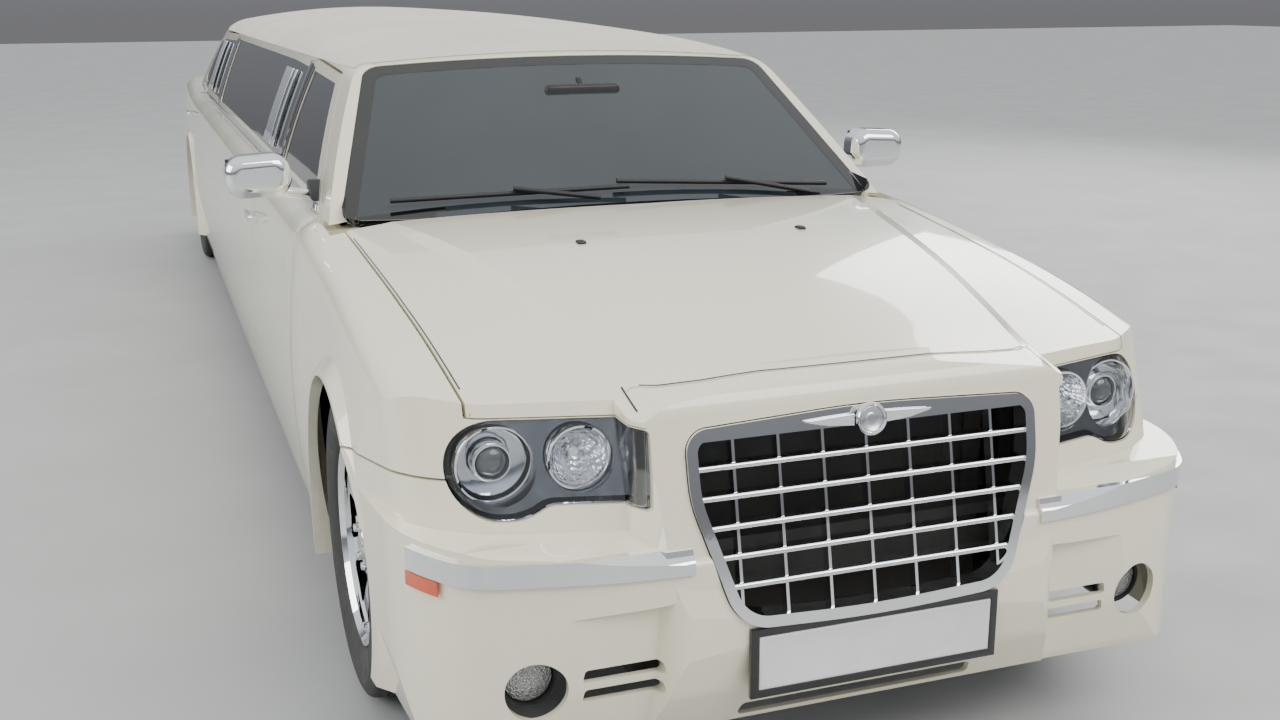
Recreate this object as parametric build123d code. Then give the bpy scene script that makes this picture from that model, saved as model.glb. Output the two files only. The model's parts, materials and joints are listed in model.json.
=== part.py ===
from build123d import *
import os
from functools import cache
from math import hypot, sqrt

# Stretched four-door saloon. Millimetres, +Z up, +X to the car's left, front towards -Y.
# Everything is drawn by its station, the distance behind the front bumper's face, and each
# finished piece is moved so that the origin is on the ground at the middle of the footprint.

# Driving dimensions
BASE_LENGTH = 4999
STRETCH = 3048
LENGTH = BASE_LENGTH + STRETCH
FRONT_AXLE = 885
WHEELBASE = 3048 + STRETCH
REAR_AXLE = FRONT_AXLE + WHEELBASE
TRACK_HALF = 800
TYRE_RADIUS = 363.5
TYRE_WIDTH = 225
ARCH_RADIUS = 402
SILL_Z = 200
BELT_Z = 1012
ROOF_Z = 1530
SIDE_Z = 540
PANEL = 14
WALL = 58
PILLAR = 42
GLASS = 5
GLASS_SINK = 3

# Drawing helpers: outlines in the three main planes, given as points with a corner radius each
def rounded(points, radii, plane, grow=0):
    face = make_face(FilletPolyline(*points, radius=radii, close=True))
    return plane * (offset(face, amount=grow) if grow else face)


def across(points, radii, x_low, x_high, grow=0):
    """A side-view outline of (station, z) points, as a prism from x_low to x_high."""
    face = rounded(points, radii, Plane.YZ.offset(x_low), grow)
    return extrude(face, amount=x_high - x_low)


def along(points, radii, start, end, grow=0):
    """A front-view outline of (x, z) points, as a prism from station start to end."""
    plane = Plane(origin=(0, end, 0), x_dir=(1, 0, 0), z_dir=(0, -1, 0))
    return extrude(rounded(points, radii, plane, grow), amount=end - start)


def upright(points, radii, z_low, z_high, lean=0, grow=0):
    """A plan outline of (x, station) points, as a prism that may lean backwards."""
    face = rounded(points, radii, Plane.XY.offset(z_low), grow)
    rise = z_high - z_low
    return extrude(face, amount=rise * hypot(1, lean), dir=(0, lean, 1))


def block(x, s, z):
    """A box from three (low, high) pairs."""
    size = [b - a for a, b in (x, s, z)]
    centre = [(a + b) / 2 for a, b in (x, s, z)]
    return Pos(*centre) * Box(*size)


def disc(radius, x_low, x_high, station, z):
    """A round bar whose axis runs across the car."""
    return Pos((x_low + x_high) / 2, station, z) * Rot(0, 90, 0) * Cylinder(radius, x_high - x_low)


def both(half):
    """A half-body piece on +X, with its mirror image fused on."""
    return half + mirror(half, about=Plane.YZ)


def pair(piece):
    """A piece and its mirror image as two separate solids."""
    return Compound(children=[*piece.solids(), *mirror(piece, about=Plane.YZ).solids()])


# Body surfaces
# Half sections of the front end. Columns: station, sill x, side x, shoulder x and z, fender top
# x and z, foot of the bonnet's raised middle x and z, its crest x and z, centre z.
FRONT_SECTIONS = (
    (-30, 868, 896, 866, 754, 800, 814, 466, 832, 412, 856, 878),
    (150, 872, 904, 872, 774, 806, 834, 478, 854, 428, 880, 904),
    (420, 890, 927, 893, 826, 830, 886, 508, 922, 474, 936, 954),
    (FRONT_AXLE, 902, 938, 905, 890, 842, 958, 590, 996, 550, 1008, 1024),
    (1330, 905, 938, 904, 940, 838, 1006, 690, 1026, 655, 1034, 1052),
    (1660, 905, 938, 905, 950, 846, 1014, 730, 1030, 715, 1034, 1056),
)
# Half sections of the tail, with the same columns
REAR_SECTIONS = (
    (6380, 905, 938, 905, 950, 846, 1014, 640, 1020, 600, 1022, 1036),
    (REAR_AXLE, 905, 938, 905, 962, 848, 1026, 640, 1046, 600, 1050, 1072),
    (7560, 899, 933, 898, 985, 838, 1048, 640, 1076, 600, 1080, 1104),
    (LENGTH + 20, 880, 915, 880, 1005, 815, 1066, 620, 1092, 580, 1096, 1122),
)
# Half sections of the cabin. Columns: station, foot x, mid-side x and z, rail x and z, roof edge
# x and z, centre z.
CABIN_SECTIONS = (
    (1180, 842, 806, 1090, 744, 1206, 616, 1246, 1276),
    (2080, 834, 758, 1200, 676, 1374, 592, 1416, 1442),
    (2950, 830, 748, 1220, 664, 1404, 580, 1466, 1514),
    (6150, 830, 748, 1220, 664, 1408, 584, 1474, ROOF_Z),
    (7080, 832, 752, 1210, 668, 1374, 588, 1424, 1466),
    (7850, 838, 780, 1120, 708, 1234, 604, 1268, 1296),
)
CABIN_FLOOR = 980


def crown(edge, top):
    """An arc from an edge point up to the centre line, level where it meets it."""
    rise = top.Z - edge.Z
    radius = (edge.X**2 + rise**2) / (2 * rise)
    half = edge.X / 2
    drop = radius - sqrt(radius**2 - half**2)
    return ThreePointArc(edge, (half, edge.Y, top.Z - drop), top)


def footing(foot, floor):
    """The straight edges from the centre line out under the foot of a flank, and up to it."""
    low = Vector(foot.X, foot.Y, floor)
    edges = [Line((0, foot.Y, floor), low)]
    return edges + [Line(low, foot)] if floor < foot.Z else edges


def body_section(row, inset, floor):
    s, sill, side, sx, sz, tx, tz, fx, fz, cx, cz, mid = row
    foot = Vector(sill - inset, s, SILL_Z)
    shoulder = Vector(sx - inset, s, sz - 0.45 * inset)
    top = Vector(tx - 0.7 * inset, s, tz - 0.95 * inset)
    low = Vector(fx - 0.3 * inset, s, fz - inset)
    crest = Vector(cx - 0.3 * inset, s, cz - inset)
    centre = Vector(0, s, mid - inset)
    flank = ThreePointArc(foot, (side - inset, s, SIDE_Z), shoulder)
    turn = TangentArc(shoulder, top, tangent=flank % 1)
    edges = [
        *footing(foot, floor),
        flank,
        turn,
        Line(top, low),
        Line(low, crest),
        crown(crest, centre),
        Line(centre, (0, s, floor)),
    ]
    return Wire([e for line in edges for e in line.edges()])


def cabin_section(row, inset, floor):
    s, foot_x, side_x, side_z, rail_x, rail_z, edge_x, edge_z, mid = row
    foot = Vector(foot_x - inset, s, CABIN_FLOOR)
    rail = Vector(rail_x - inset, s, rail_z - 0.4 * inset)
    edge = Vector(edge_x - 0.6 * inset, s, edge_z - inset)
    centre = Vector(0, s, mid - inset)
    flank = ThreePointArc(foot, (side_x - inset, s, side_z), rail)
    turn = TangentArc(rail, edge, tangent=flank % 1)
    edges = [
        *footing(foot, floor),
        flank,
        turn,
        crown(edge, centre),
        Line(centre, (0, s, floor)),
    ]
    return Wire([e for line in edges for e in line.edges()])


@cache
def half_front(inset, floor):
    return Solid.make_loft([body_section(row, inset, floor) for row in FRONT_SECTIONS])


@cache
def half_rear(inset, floor):
    return Solid.make_loft([body_section(row, inset, floor) for row in REAR_SECTIONS])


@cache
def front_body(inset, floor):
    """The front end behind the nose, drawn in by inset."""
    return half_front(inset, floor) & nose(-inset)


@cache
def rear_body(inset, floor):
    """The rear end within the tail, drawn in by inset."""
    return half_rear(inset, floor) & tail(-inset)


@cache
def half_middle(inset, floor):
    """The body between the front doors' leading edge and the rear arches, all one section."""
    start, sill, side, sx, sz, tx, tz = FRONT_SECTIONS[-1][:7]
    end = REAR_SECTIONS[0][0]
    foot = Vector(sill - inset, start, SILL_Z)
    shoulder = Vector(sx - inset, start, sz - 0.45 * inset)
    top = Vector(tx - 0.7 * inset, start, tz - 0.95 * inset)
    centre = Vector(0, start, BELT_Z - inset)
    flank = ThreePointArc(foot, (side - inset, start, SIDE_Z), shoulder)
    turn = TangentArc(shoulder, top, tangent=flank % 1)
    edges = [
        *footing(foot, floor),
        flank,
        turn,
        Line(top, centre),
        Line(centre, (0, start, floor)),
    ]
    wire = Wire([e for line in edges for e in line.edges()])
    return extrude(Face(wire), amount=end - start, dir=(0, 1, 0))


def half_cabin(inset, floor):
    return Solid.make_loft([cabin_section(row, inset, floor) for row in CABIN_SECTIONS])


def both_sides(points):
    """The half outline's points from the centre outwards, led by their mirror images."""
    return [(-x, s) for x, s in reversed(points)] + list(points)


def twice(radii):
    return list(reversed(radii)) + list(radii)


# The nose: a bumper block, the set-back wall that carries the headlamps, and the grille surround
NOSE_LEAN = 0.32
BUMPER_PLAN = ((480, 14), (800, 92), (902, 252), (950, 760), (950, 1760))
BUMPER_CORNERS = (1200, 160, 400, 0, 0)
LAMP_PLAN = ((420, 102), (735, 186), (872, 284), (950, 640), (950, 1760))
LAMP_CORNERS = (700, 140, 220, 0, 0)
SURROUND_PLAN = ((250, 0), (416, 5), (482, 112), (490, 430))
SURROUND_CORNERS = (900, 56, 60, 0)


@cache
def nose(grow):
    """Everything in front of which there is no body; grow is negative for the inner wall."""
    bumper_plan = [(x + grow, s - grow) for x, s in BUMPER_PLAN]
    lamp_plan = [(x + grow, s - grow) for x, s in LAMP_PLAN]
    surround_plan = [(x + grow, s - grow) for x, s in SURROUND_PLAN]
    bumper = upright(both_sides(bumper_plan), twice(BUMPER_CORNERS), 100, 700)
    profile = [(126 - grow, 100), (84 - grow, 215), (58 - grow, 330), (48 - grow, 486),
               (18 - grow, 500), (14 - grow, 524), (14 - grow, 576 + grow),
               (52 - grow, 606 + grow), (110, 624 + grow), (1760, 624 + grow), (1760, 100)]
    bumper &= across(profile, [0, 60, 200, 8, 8, 8, 16, 30, 0, 0, 0], -1000, 1000)
    lamp_plan = [(x, s - 100 * NOSE_LEAN) for x, s in lamp_plan]
    upper = upright(both_sides(lamp_plan), twice(LAMP_CORNERS), 540, 1300, NOSE_LEAN)
    surround = upright(both_sides(surround_plan), twice(SURROUND_CORNERS), 170, 1000)
    lean = [(100 - grow, 170), (28 - grow, 300), (-grow, 400), (-grow, 452),
            (88 - grow, 889 + grow), (430, 945 + grow), (430, 170)]
    surround &= across(lean, [0, 120, 120, 160, 58, 0, 0], -600, 600)
    return bumper + upper + surround


# The tail: a bumper block and the body above it, set in
TAIL_START = 6300
TAIL_PLAN = ((560, LENGTH - 8), (884, LENGTH - 92), (935, LENGTH - 420), (960, TAIL_START))
TAIL_CORNERS = (1400, 150, 700, 0)


@cache
def tail(grow):
    plan = [(x + grow, s + grow) for x, s in TAIL_PLAN]
    block_plan = upright(both_sides(plan), twice(TAIL_CORNERS), 90, 1300)
    end = LENGTH + grow
    profile = [(TAIL_START, 90), (end - 60, 90), (end - 30, 200), (end, 330), (end, 618 + grow),
               (end - 58, 640 + grow), (end - 78, 1040 + grow), (end - 130, 1300),
               (TAIL_START, 1300)]
    return block_plan & across(profile, [0, 0, 60, 200, 30, 30, 300, 0, 0], -1000, 1000)


def leaning_plane(base, head):
    """A plane on the line between two (station, z) points: x across, y up the slope."""
    slope = Vector(0, head[0] - base[0], head[1] - base[1])
    facing = Vector(1, 0, 0).cross(slope).normalized()
    return Plane(origin=(0, *base), x_dir=(1, 0, 0), z_dir=facing)


# Windscreen and rear window: parts of large cylinders, on the lines from base to head
SCREEN = leaning_plane((1477, 1052), (1999, 1427))
SCREEN_BEND = 7000
BACKLIGHT = leaning_plane((7478, 1112), (6960, 1452))
BACKLIGHT_BEND = 4000


def bent_sheet(plane, radius, inset):
    """The cylinder whose outside is the glass, sunk by inset."""
    ahead = plane.z_dir if plane.z_dir.Z > 0 else plane.z_dir * -1
    centre = plane.origin - ahead * radius
    place = Plane(origin=centre, x_dir=(1, 0, 0), z_dir=plane.y_dir)
    return place * Cylinder(radius - inset, 2 * LENGTH)


@cache
def half_greenhouse(inset, floor):
    volume = half_cabin(inset, floor)
    volume &= bent_sheet(SCREEN, SCREEN_BEND, inset)
    return volume & bent_sheet(BACKLIGHT, BACKLIGHT_BEND, inset)


def beyond(start, end):
    """All of the car between two stations."""
    return block((-1100, 1100), (start, end), (-10, 1700))


@cache
def half_lower(inset, floor):
    """The body below the windows, from the front bulkhead to the tail."""
    front = half_front(inset, floor) & beyond(1400, 1700)
    return front + half_middle(inset, floor) + rear_body(inset, floor)


# Panel outlines. Side views are (station, z), front views (x, z), plans (x, station).
FENDER_SIDE = ((100, 728), (330, 716), (430, 707), (640, 690), (700, 90), (1590, 90),
               (1590, 1200), (100, 1200))
FENDER_CORNERS = (0, 60, 60, 20, 0, 0, 0, 0)
BONNET_PLAN = ((456, 205), (456, 60), (752, 60), (754, 250), (776, 750), (799, 1420))
BONNET_FRONT = ((0, 152), (320, 156), (418, 172))
BONNET_REAR = 1368
LAMP_FRONT = ((455, 829), (800, 829), (800, 648), (668, 648), (618, 676), (452, 676))
LAMP_ROUND = (8, 92, 88, 110, 60, 8)
GRILLE_FRONT = ((-300, 438), (0, 425), (300, 438), (384, 690), (386, 824), (0, 841),
                (-386, 824), (-384, 690))
GRILLE_ROUND = (95, 3000, 95, 260, 46, 2500, 46, 260)
FRONT_DOOR_SIDE = ((1610, 265), (1600, 620), (1650, 850), (1712, 1010), (2160, 1376),
                   (2790, 1398), (2800, 265))
FRONT_DOOR_ROUND = (40, 300, 300, 120, 90, 30, 30)
REAR_DOOR_SIDE = ((5860, 265), (6525, 265), (6545, 440), (6620, 610), (6760, 740), (6885, 850),
                  (6900, 1005), (6790, 1386), (5870, 1400))
REAR_DOOR_ROUND = (30, 40, 200, 200, 300, 60, 200, 90, 30)
BOOT_PLAN = ((-620, 7520), (620, 7520), (640, LENGTH + 60), (-640, LENGTH + 60))
BOOT_LIP = 706
TAIL_LAMP = ((655, 715), (930, 715), (930, 960), (655, 975))
# Side windows, each in a panel. Columns: name, outline, corner radii
FRONT_LIGHT = ((1880, 1052), (2215, 1348), (2740, 1362), (2746, 1052))
STRETCH_LIGHT = ((2868, 1052), (2864, 1366), (3300, 1374), (5796, 1374), (5796, 1052))
REAR_LIGHT = ((5914, 1056), (5914, 1366), (6728, 1350), (6824, 1066))
QUARTER_LIGHT = ((6946, 1086), (6886, 1318), (7006, 1302), (7172, 1100))
LIGHT_ROUND = 26
GAP = 8

BUMPER_SIDE = ((7420, 90), (7420, 500), (7560, 646), (LENGTH + 60, 646), (LENGTH + 60, 90))
tailpipe_hole = Pos(520, LENGTH, 262) * Rot(90, 0, 0) * Cylinder(44, 300)

# The flared lip of a wheel arch, turned about the axle: how far out, how wide, where it dies out
FLARE_X = 946
FLARE_WIDTH = 14
FLARE_REACH = 96


def flare(station):
    """A ring round the wheel opening whose cone sinks into the flank."""
    section = [(880, ARCH_RADIUS), (FLARE_X, ARCH_RADIUS), (FLARE_X, ARCH_RADIUS + FLARE_WIDTH),
               (880, ARCH_RADIUS + FLARE_REACH)]
    ring = revolve(rounded(section, [0, 0, 8, 0], Plane.XY), Axis.X)
    above_sill = block((800, 1000), (-600, 600), (SILL_Z - TYRE_RADIUS, 600))
    return Pos(0, station, TYRE_RADIUS) * (ring & above_sill)


front_skin = (half_front(0, SILL_Z) + flare(FRONT_AXLE)) & nose(0)
rear_skin = rear_body(0, SILL_Z) + flare(REAR_AXLE)
front_shell = front_skin - front_body(PANEL, 90)
lower_skin = front_skin + half_middle(0, SILL_Z) + rear_skin
whole_skin = lower_skin + half_greenhouse(0, CABIN_FLOOR)
foot_room = block((0, 762), (1540, 2600), (240, 1028))
room = half_lower(WALL, 90) + half_greenhouse(PILLAR, CABIN_FLOOR - 90) + foot_room
wall = (whole_skin & beyond(1500, LENGTH + 50)) - room
rim_room = half_lower(16, 90) + half_greenhouse(14, CABIN_FLOOR - 90)
glass_skin = half_greenhouse(GLASS_SINK, CABIN_FLOOR)
glass_back = half_greenhouse(GLASS_SINK + GLASS, CABIN_FLOOR - 10)
rebate_floor = half_greenhouse(GLASS_SINK + GLASS + 1, CABIN_FLOOR - 10)


def biggest(shape):
    """The main solid of a cut piece, without crumbs."""
    return max(shape.solids(), key=lambda solid: solid.volume)


def rod(start, end, radius):
    """A round bar between two (x, station, z) points."""
    path = Vector(end) - Vector(start)
    place = Plane(origin=start, z_dir=path)
    return place * Cylinder(radius, path.length, align=(Align.CENTER, Align.CENTER, Align.MIN))


def joined(pieces):
    first, *others = pieces
    return first.fuse(*others)


def arch(station, radius):
    return disc(radius, 560, 1000, station, TYRE_RADIUS)


# Front panels
def bonnet_region(grow):
    plan = [(0, BONNET_FRONT[0][1] - grow)]
    plan += [(x, s - grow) for x, s in BONNET_FRONT[1:]]
    plan += [(BONNET_PLAN[0][0], BONNET_PLAN[0][1] - grow), BONNET_PLAN[1]]
    plan += [(x + grow, s) for x, s in BONNET_PLAN[2:-1]]
    plan += [(BONNET_PLAN[-1][0] + grow, BONNET_PLAN[-1][1] + grow), (0, BONNET_REAR + grow)]
    return upright(plan, [0, 60, 50, 8, 0, 0, 40, 400, 20, 0], 836 - grow / 2, 1300)


def fender_region(grow):
    return across(FENDER_SIDE, FENDER_CORNERS, 700, 1000, grow) - bonnet_region(6 - grow)


def bonnet():
    return both(biggest(front_shell & bonnet_region(0)))


def front_fenders():
    panel = (front_shell & fender_region(0)) - arch(FRONT_AXLE, ARCH_RADIUS)
    panel -= along(LAMP_FRONT, LAMP_ROUND, 60, 460, 3)
    return pair(biggest(panel - block((0, 842), (1400, 1600), (960, 1200))))


def front_bumper():
    panel = (front_shell & beyond(-20, 690)) - fender_region(5) - bonnet_region(5)
    panel -= along(LAMP_FRONT, LAMP_ROUND, 60, 460, 3)
    panel -= along(GRILLE_FRONT, GRILLE_ROUND, -60, 400)
    panel -= arch(FRONT_AXLE, ARCH_RADIUS)
    for low in (308, 350):
        panel -= along(((432, low), (596, low), (590, low + 26), (438, low + 26)), 8, -20, 300)
    panel -= along(((-270, 212), (270, 212), (262, 246), (-262, 246)), 12, -20, 300)
    panel -= Pos(FOG_X, 160, FOG_Z) * Rot(90, 0, 0) * Cylinder(FOG_RADIUS + 2, 260)
    return both(biggest(panel))


def nose_band(region):
    """A thin layer over the front body, within a region."""
    return (front_body(-TRIM_PROUD, SILL_Z) & region) - front_body(-TRIM_GAP, 90)


# The lamps: projector and reflector bowls as x, z, radius and the station of the bottom
LAMP_BOWLS = ((708, 740, 76, 330), (552, 753, 66, 290))
FOG_X = 683
FOG_Z = 342
FOG_RADIUS = 58

# Bright trim: how far it stands proud, and the joint behind it
TRIM_PROUD = 7
TRIM_GAP = 0.4


def headlamp_lenses():
    outline = along(LAMP_FRONT, LAMP_ROUND, 60, 460)
    lens = front_body(GLASS_SINK, SILL_Z) & outline
    return pair(lens - front_body(GLASS_SINK + GLASS, 90))


def headlamp_housings():
    outline = along(LAMP_FRONT, LAMP_ROUND, 60, 400, -4)
    body = front_body(22, SILL_Z) & outline
    for x, z, radius, bottom in LAMP_BOWLS:
        body -= Pos(x, bottom - 100, z) * Rot(90, 0, 0) * Cylinder(radius, 200)
    return pair(biggest(body))


# The grille: stations of its leaning front at the foot and head, its frame and its bars
GRILLE_FOOT = (-15, 415)
GRILLE_HEAD = (74, 858)
FRAME_WIDTH = 22
GRILLE_BARS = range(519, 750, 57)
GRILLE_POSTS = 95


def grille_slab(ahead, depth):
    """A leaning slab, set back from the frame's front and as deep as given."""
    (foot_s, foot_z), (head_s, head_z) = GRILLE_FOOT, GRILLE_HEAD
    side = [(foot_s + ahead, foot_z), (head_s + ahead, head_z),
            (head_s + ahead + depth, head_z), (foot_s + ahead + depth, foot_z)]
    return across(side, 1, -420, 420)


def on_grille(z):
    """The station of the grille's front at a height."""
    (foot_s, foot_z), (head_s, head_z) = GRILLE_FOOT, GRILLE_HEAD
    return foot_s + (z - foot_z) * (head_s - foot_s) / (head_z - foot_z)


def grille():
    frame = along(GRILLE_FRONT, GRILLE_ROUND, -60, 200, -1.5) & grille_slab(0, 44)
    hole = along(GRILLE_FRONT, GRILLE_ROUND, -60, 200, -1.5 - FRAME_WIDTH)
    brow = along(((-400, 800), (400, 800), (400, 870), (-400, 870)), 0, -60, 200)
    frame -= hole - brow
    bars = [disc(6.5, -390, 390, on_grille(z) + 10, z) for z in GRILLE_BARS]
    bars += [block((-390, 390), (on_grille(z) + 10, on_grille(z) + 40), (z - 3, z + 3))
             for z in GRILLE_BARS]
    posts = [block((x - 3, x + 3), (-40, 160), (430, 840))
             for x in range(-3 * GRILLE_POSTS, 3 * GRILLE_POSTS + 1, GRILLE_POSTS)]
    posts = joined(posts) & grille_slab(12, 24)
    return frame + ((joined(bars) + posts) & hole)


def fog_lamps():
    ring = Pos(FOG_X, 158, FOG_Z) * Rot(90, 0, 0) * Cylinder(FOG_RADIUS, 50)
    return pair(ring - Pos(FOG_X, 122, FOG_Z) * Rot(90, 0, 0) * Cylinder(FOG_RADIUS - 8, 40))


def bumper_trim():
    return pair(nose_band(block((384, 960), (-20, 230), (560, 606))))


def side_markers():
    return pair(nose_band(block((846, 960), (150, 232), (528, 558))))


# Doors: one thickness of wall, its rim thinner so that it swings clear of the pillars
def door(outline, radii, light):
    panel = wall & across(outline, radii, 600, 1000)
    rim = across(outline, radii, 500, 1100, 1) - across(outline, radii, 400, 1200, -18)
    panel -= rim & rim_room
    return biggest(panel - across(light, LIGHT_ROUND, 400, 1000))


def pane(outline):
    cut = across(outline, LIGHT_ROUND, 400, 1000, -0.4)
    return (glass_skin & cut) - glass_back


def handle(station, z):
    outline = [(station, z - 11), (station + 150, z - 11), (station + 150, z + 11),
               (station, z + 11)]
    feet = [block((905, 940), (station + s, station + s + 24), (z - 7, z + 7)) for s in (8, 118)]
    skin = half_middle(-0.2, 90) if station < 6000 else half_rear(-0.2, 90)
    return across(outline, 10, 936, 950) + (joined(feet) - skin)


def mirror_pod():
    shell = along(((882, 1060), (1062, 1064), (1070, 1178), (890, 1188)), 50, 1772, 1856)
    shell = fillet(shell.faces().sort_by(Axis.Y)[0].edges(), 34)
    arm = rod((790, 1870, 1052), (930, 1830, 1076), 16)
    return (shell + arm) - half_greenhouse(-TRIM_GAP, CABIN_FLOOR - 10)


# Body shell
# The bonded screens: the glass outline, sunk in a rebate, and how much smaller the hole behind is
SCREEN_OUTLINE = ((-804, -10), (804, -10), (634, 645), (-634, 645))
BACKLIGHT_OUTLINE = ((-690, 60), (690, 60), (590, 560), (-590, 560))
SCREEN_FLANGE = 34


def screen_prism(plane, outline, grow=0, depth=160):
    return extrude(rounded(outline, 60, plane.offset(-depth), grow), amount=depth + 160)


# The roof panel lies between the cant rails and the header beams
ROOF_PANEL_HALF = 560
ROOF_PANEL_START = 2100
ROOF_PANEL_END = 6850
roof_region = block((-1, ROOF_PANEL_HALF), (ROOF_PANEL_START, ROOF_PANEL_END), (1300, 1700))


def rear_wheel_house():
    """The liner over the rear wheel, open where the axle comes through."""
    liner = disc(415, 554, 882, REAR_AXLE, TYRE_RADIUS) - disc(409, 560, 900, REAR_AXLE, TYRE_RADIUS)
    liner &= block((500, 900), (6400, 7600), (330, 900))
    liner -= block((550, 565), (REAR_AXLE - 30, REAR_AXLE + 30), (320, 490))
    return liner & half_lower(WALL, 90)


def body_shell():
    bumper_seat = across(BUMPER_SIDE, [0, 60, 60, 0, 0], -1, 1000, 5)
    openings = [
        (half_front(0, SILL_Z) - half_front(PANEL + 3, 90)) & beyond(1490, 1594),
        across(FRONT_DOOR_SIDE, FRONT_DOOR_ROUND, 400, 1000, GAP),
        across(REAR_DOOR_SIDE, REAR_DOOR_ROUND, 400, 1000, GAP),
        across(STRETCH_LIGHT, LIGHT_ROUND, 400, 1000),
        across(QUARTER_LIGHT, LIGHT_ROUND, 400, 1000),
        roof_region,
        arch(REAR_AXLE, ARCH_RADIUS),
        upright(BOOT_PLAN, [60, 60, 0, 0], BOOT_LIP, 1300, 0, 6),
        along(TAIL_LAMP, [30, 30, 60, 20], 7800, LENGTH + 40, 2),
        bumper_seat - rear_body(PANEL + 4, 90),
        tailpipe_hole,
    ]
    for plane, outline in ((SCREEN, SCREEN_OUTLINE), (BACKLIGHT, BACKLIGHT_OUTLINE)):
        openings.append(screen_prism(plane, outline, -SCREEN_FLANGE))
        openings.append(screen_prism(plane, outline, 0, 90) - rebate_floor)
    return both(biggest(wall.cut(*openings)) + rear_wheel_house())


def roof_panel():
    layer = half_greenhouse(0, CABIN_FLOOR) - half_greenhouse(PILLAR, CABIN_FLOOR - 90)
    return both(biggest(layer & roof_region))


def roof_cover():
    over = half_greenhouse(-2.5, CABIN_FLOOR) - half_greenhouse(-TRIM_GAP, CABIN_FLOOR - 10)
    region = across(((2062, 1402), (6850, 1402), (7000, 1440), (6980, 1650), (2014, 1650)),
                    0, -10, 1000)
    return both(biggest(over & region))


def windscreen():
    return both((glass_skin & screen_prism(SCREEN, SCREEN_OUTLINE, -0.5)) - glass_back)


def rear_window():
    return both((glass_skin & screen_prism(BACKLIGHT, BACKLIGHT_OUTLINE, -0.5)) - glass_back)


def side_glass():
    panes = [pane(outline) for outline in (STRETCH_LIGHT, QUARTER_LIGHT)]
    return pair(Compound(children=[solid for piece in panes for solid in piece.solids()]))


def window_trim():
    over = half_greenhouse(-6, CABIN_FLOOR) - half_greenhouse(-TRIM_GAP, CABIN_FLOOR - 10)
    belt = block((400, 1000), (2816, 5848), (1018, 1034))
    strips = [block((400, 1000), (s, s + 34), (1030, 1392)) for s in (2822, 5806)]
    return pair((over & joined([belt, *strips])))


def rear_bumper():
    shell = rear_skin - rear_body(PANEL, 90)
    shell &= across(BUMPER_SIDE, [0, 60, 60, 0, 0], -1, 1000)
    return both(biggest(shell - tailpipe_hole - arch(REAR_AXLE, ARCH_RADIUS)))


def boot_lid():
    shell = rear_skin - rear_body(22, 90)
    return both(biggest(shell & upright(BOOT_PLAN, [60, 60, 0, 0], BOOT_LIP, 1300)))


def tail_lamps():
    body = rear_body(1, SILL_Z) - rear_body(40, 90)
    return pair(biggest(body & along(TAIL_LAMP, [30, 30, 60, 20], 7800, LENGTH + 40)))


# Structure and running gear
def front_frame():
    pieces = [
        block((0, 640), (110, 165), (490, 580)),
        block((410, 468), (140, 1508), (300, 380)),
        block((410, 468), (140, 165), (370, 500)),
        block((425, 455), (236, 290), (370, 815)),
        block((0, 455), (236, 290), (797, 815)),
        across(((430, 300), (430, 660), (470, 790), (1506, 800), (1506, 300)), 0, 466, 478),
        block((474, 606), (FRONT_AXLE - 60, FRONT_AXLE + 60), (764, 776)),
        block((0, 780), (1502, 1520), (250, 950)) - block((-1, 131), (1490, 1530), (240, 441)),
    ]
    liner = disc(460, 476, 884, FRONT_AXLE, TYRE_RADIUS)
    liner -= disc(454, 470, 900, FRONT_AXLE, TYRE_RADIUS)
    liner &= block((476, 900), (400, 1400), (330, 900))
    liner &= front_body(PANEL + 4, 90)
    return both(joined([*pieces, *liner.solids()]))


def cowl_panel():
    plan = [(0, 1384), (784, 1436), (790, 1500), (0, 1474)]
    layer = half_front(30, 90) - half_front(38, 80)
    return both(layer & upright(plan, 0, 900, 1200))


def on_screen(x, up, lift):
    return SCREEN.from_local_coords((x, up, lift - x**2 / (2 * SCREEN_BEND)))


def wipers():
    arms = []
    for pivot, tip, root in ((560, -20, 640), (-90, -660, 10)):
        blade = rod(on_screen(tip, 50, 24), on_screen(root, 26, 24), 7)
        middle_x = (tip + root) / 2
        arm = rod(on_screen(pivot, -22, 34), on_screen(middle_x, 38, 34), 7)
        arms.append(blade + arm)
    return Compound(children=[solid for arm in arms for solid in arm.solids()])


def knuckle_parts(station):
    """The upright, hub spindle and brake caliper on the car's left."""
    caliper = block((700, 768), (station + 112, station + 198), (305, 422))
    caliper -= disc(172, 716, 754, station, TYRE_RADIUS)
    return [
        block((634, 666), (station - 32, station + 32), (236, 500)),
        disc(20, 660, 825, station, TYRE_RADIUS),
        disc(42, 660, 700, station, TYRE_RADIUS),
        block((640, 710), (station + 20, station + 150), (335, 395)),
        caliper,
    ]


def knuckle():
    pieces = knuckle_parts(FRONT_AXLE)
    pieces += [Pos(650, FRONT_AXLE, 368) * Cylinder(9, 312)]
    pieces += [block((636, 664), (FRONT_AXLE - 120, FRONT_AXLE - 20), (285, 310))]
    return biggest(joined(pieces))


def wishbone(inner, station, spread, z, hole):
    outer = [(inner, station - spread), (520, station - spread), (674, station - 16),
             (674, station + 16), (520, station + spread), (inner, station + spread)]
    arm = upright(outer, [0, 12, 14, 14, 12, 0], z, z + 20)
    return arm - upright([(x, station + s) for x, s in hole], 8, z - 1, z + 21)


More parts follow.
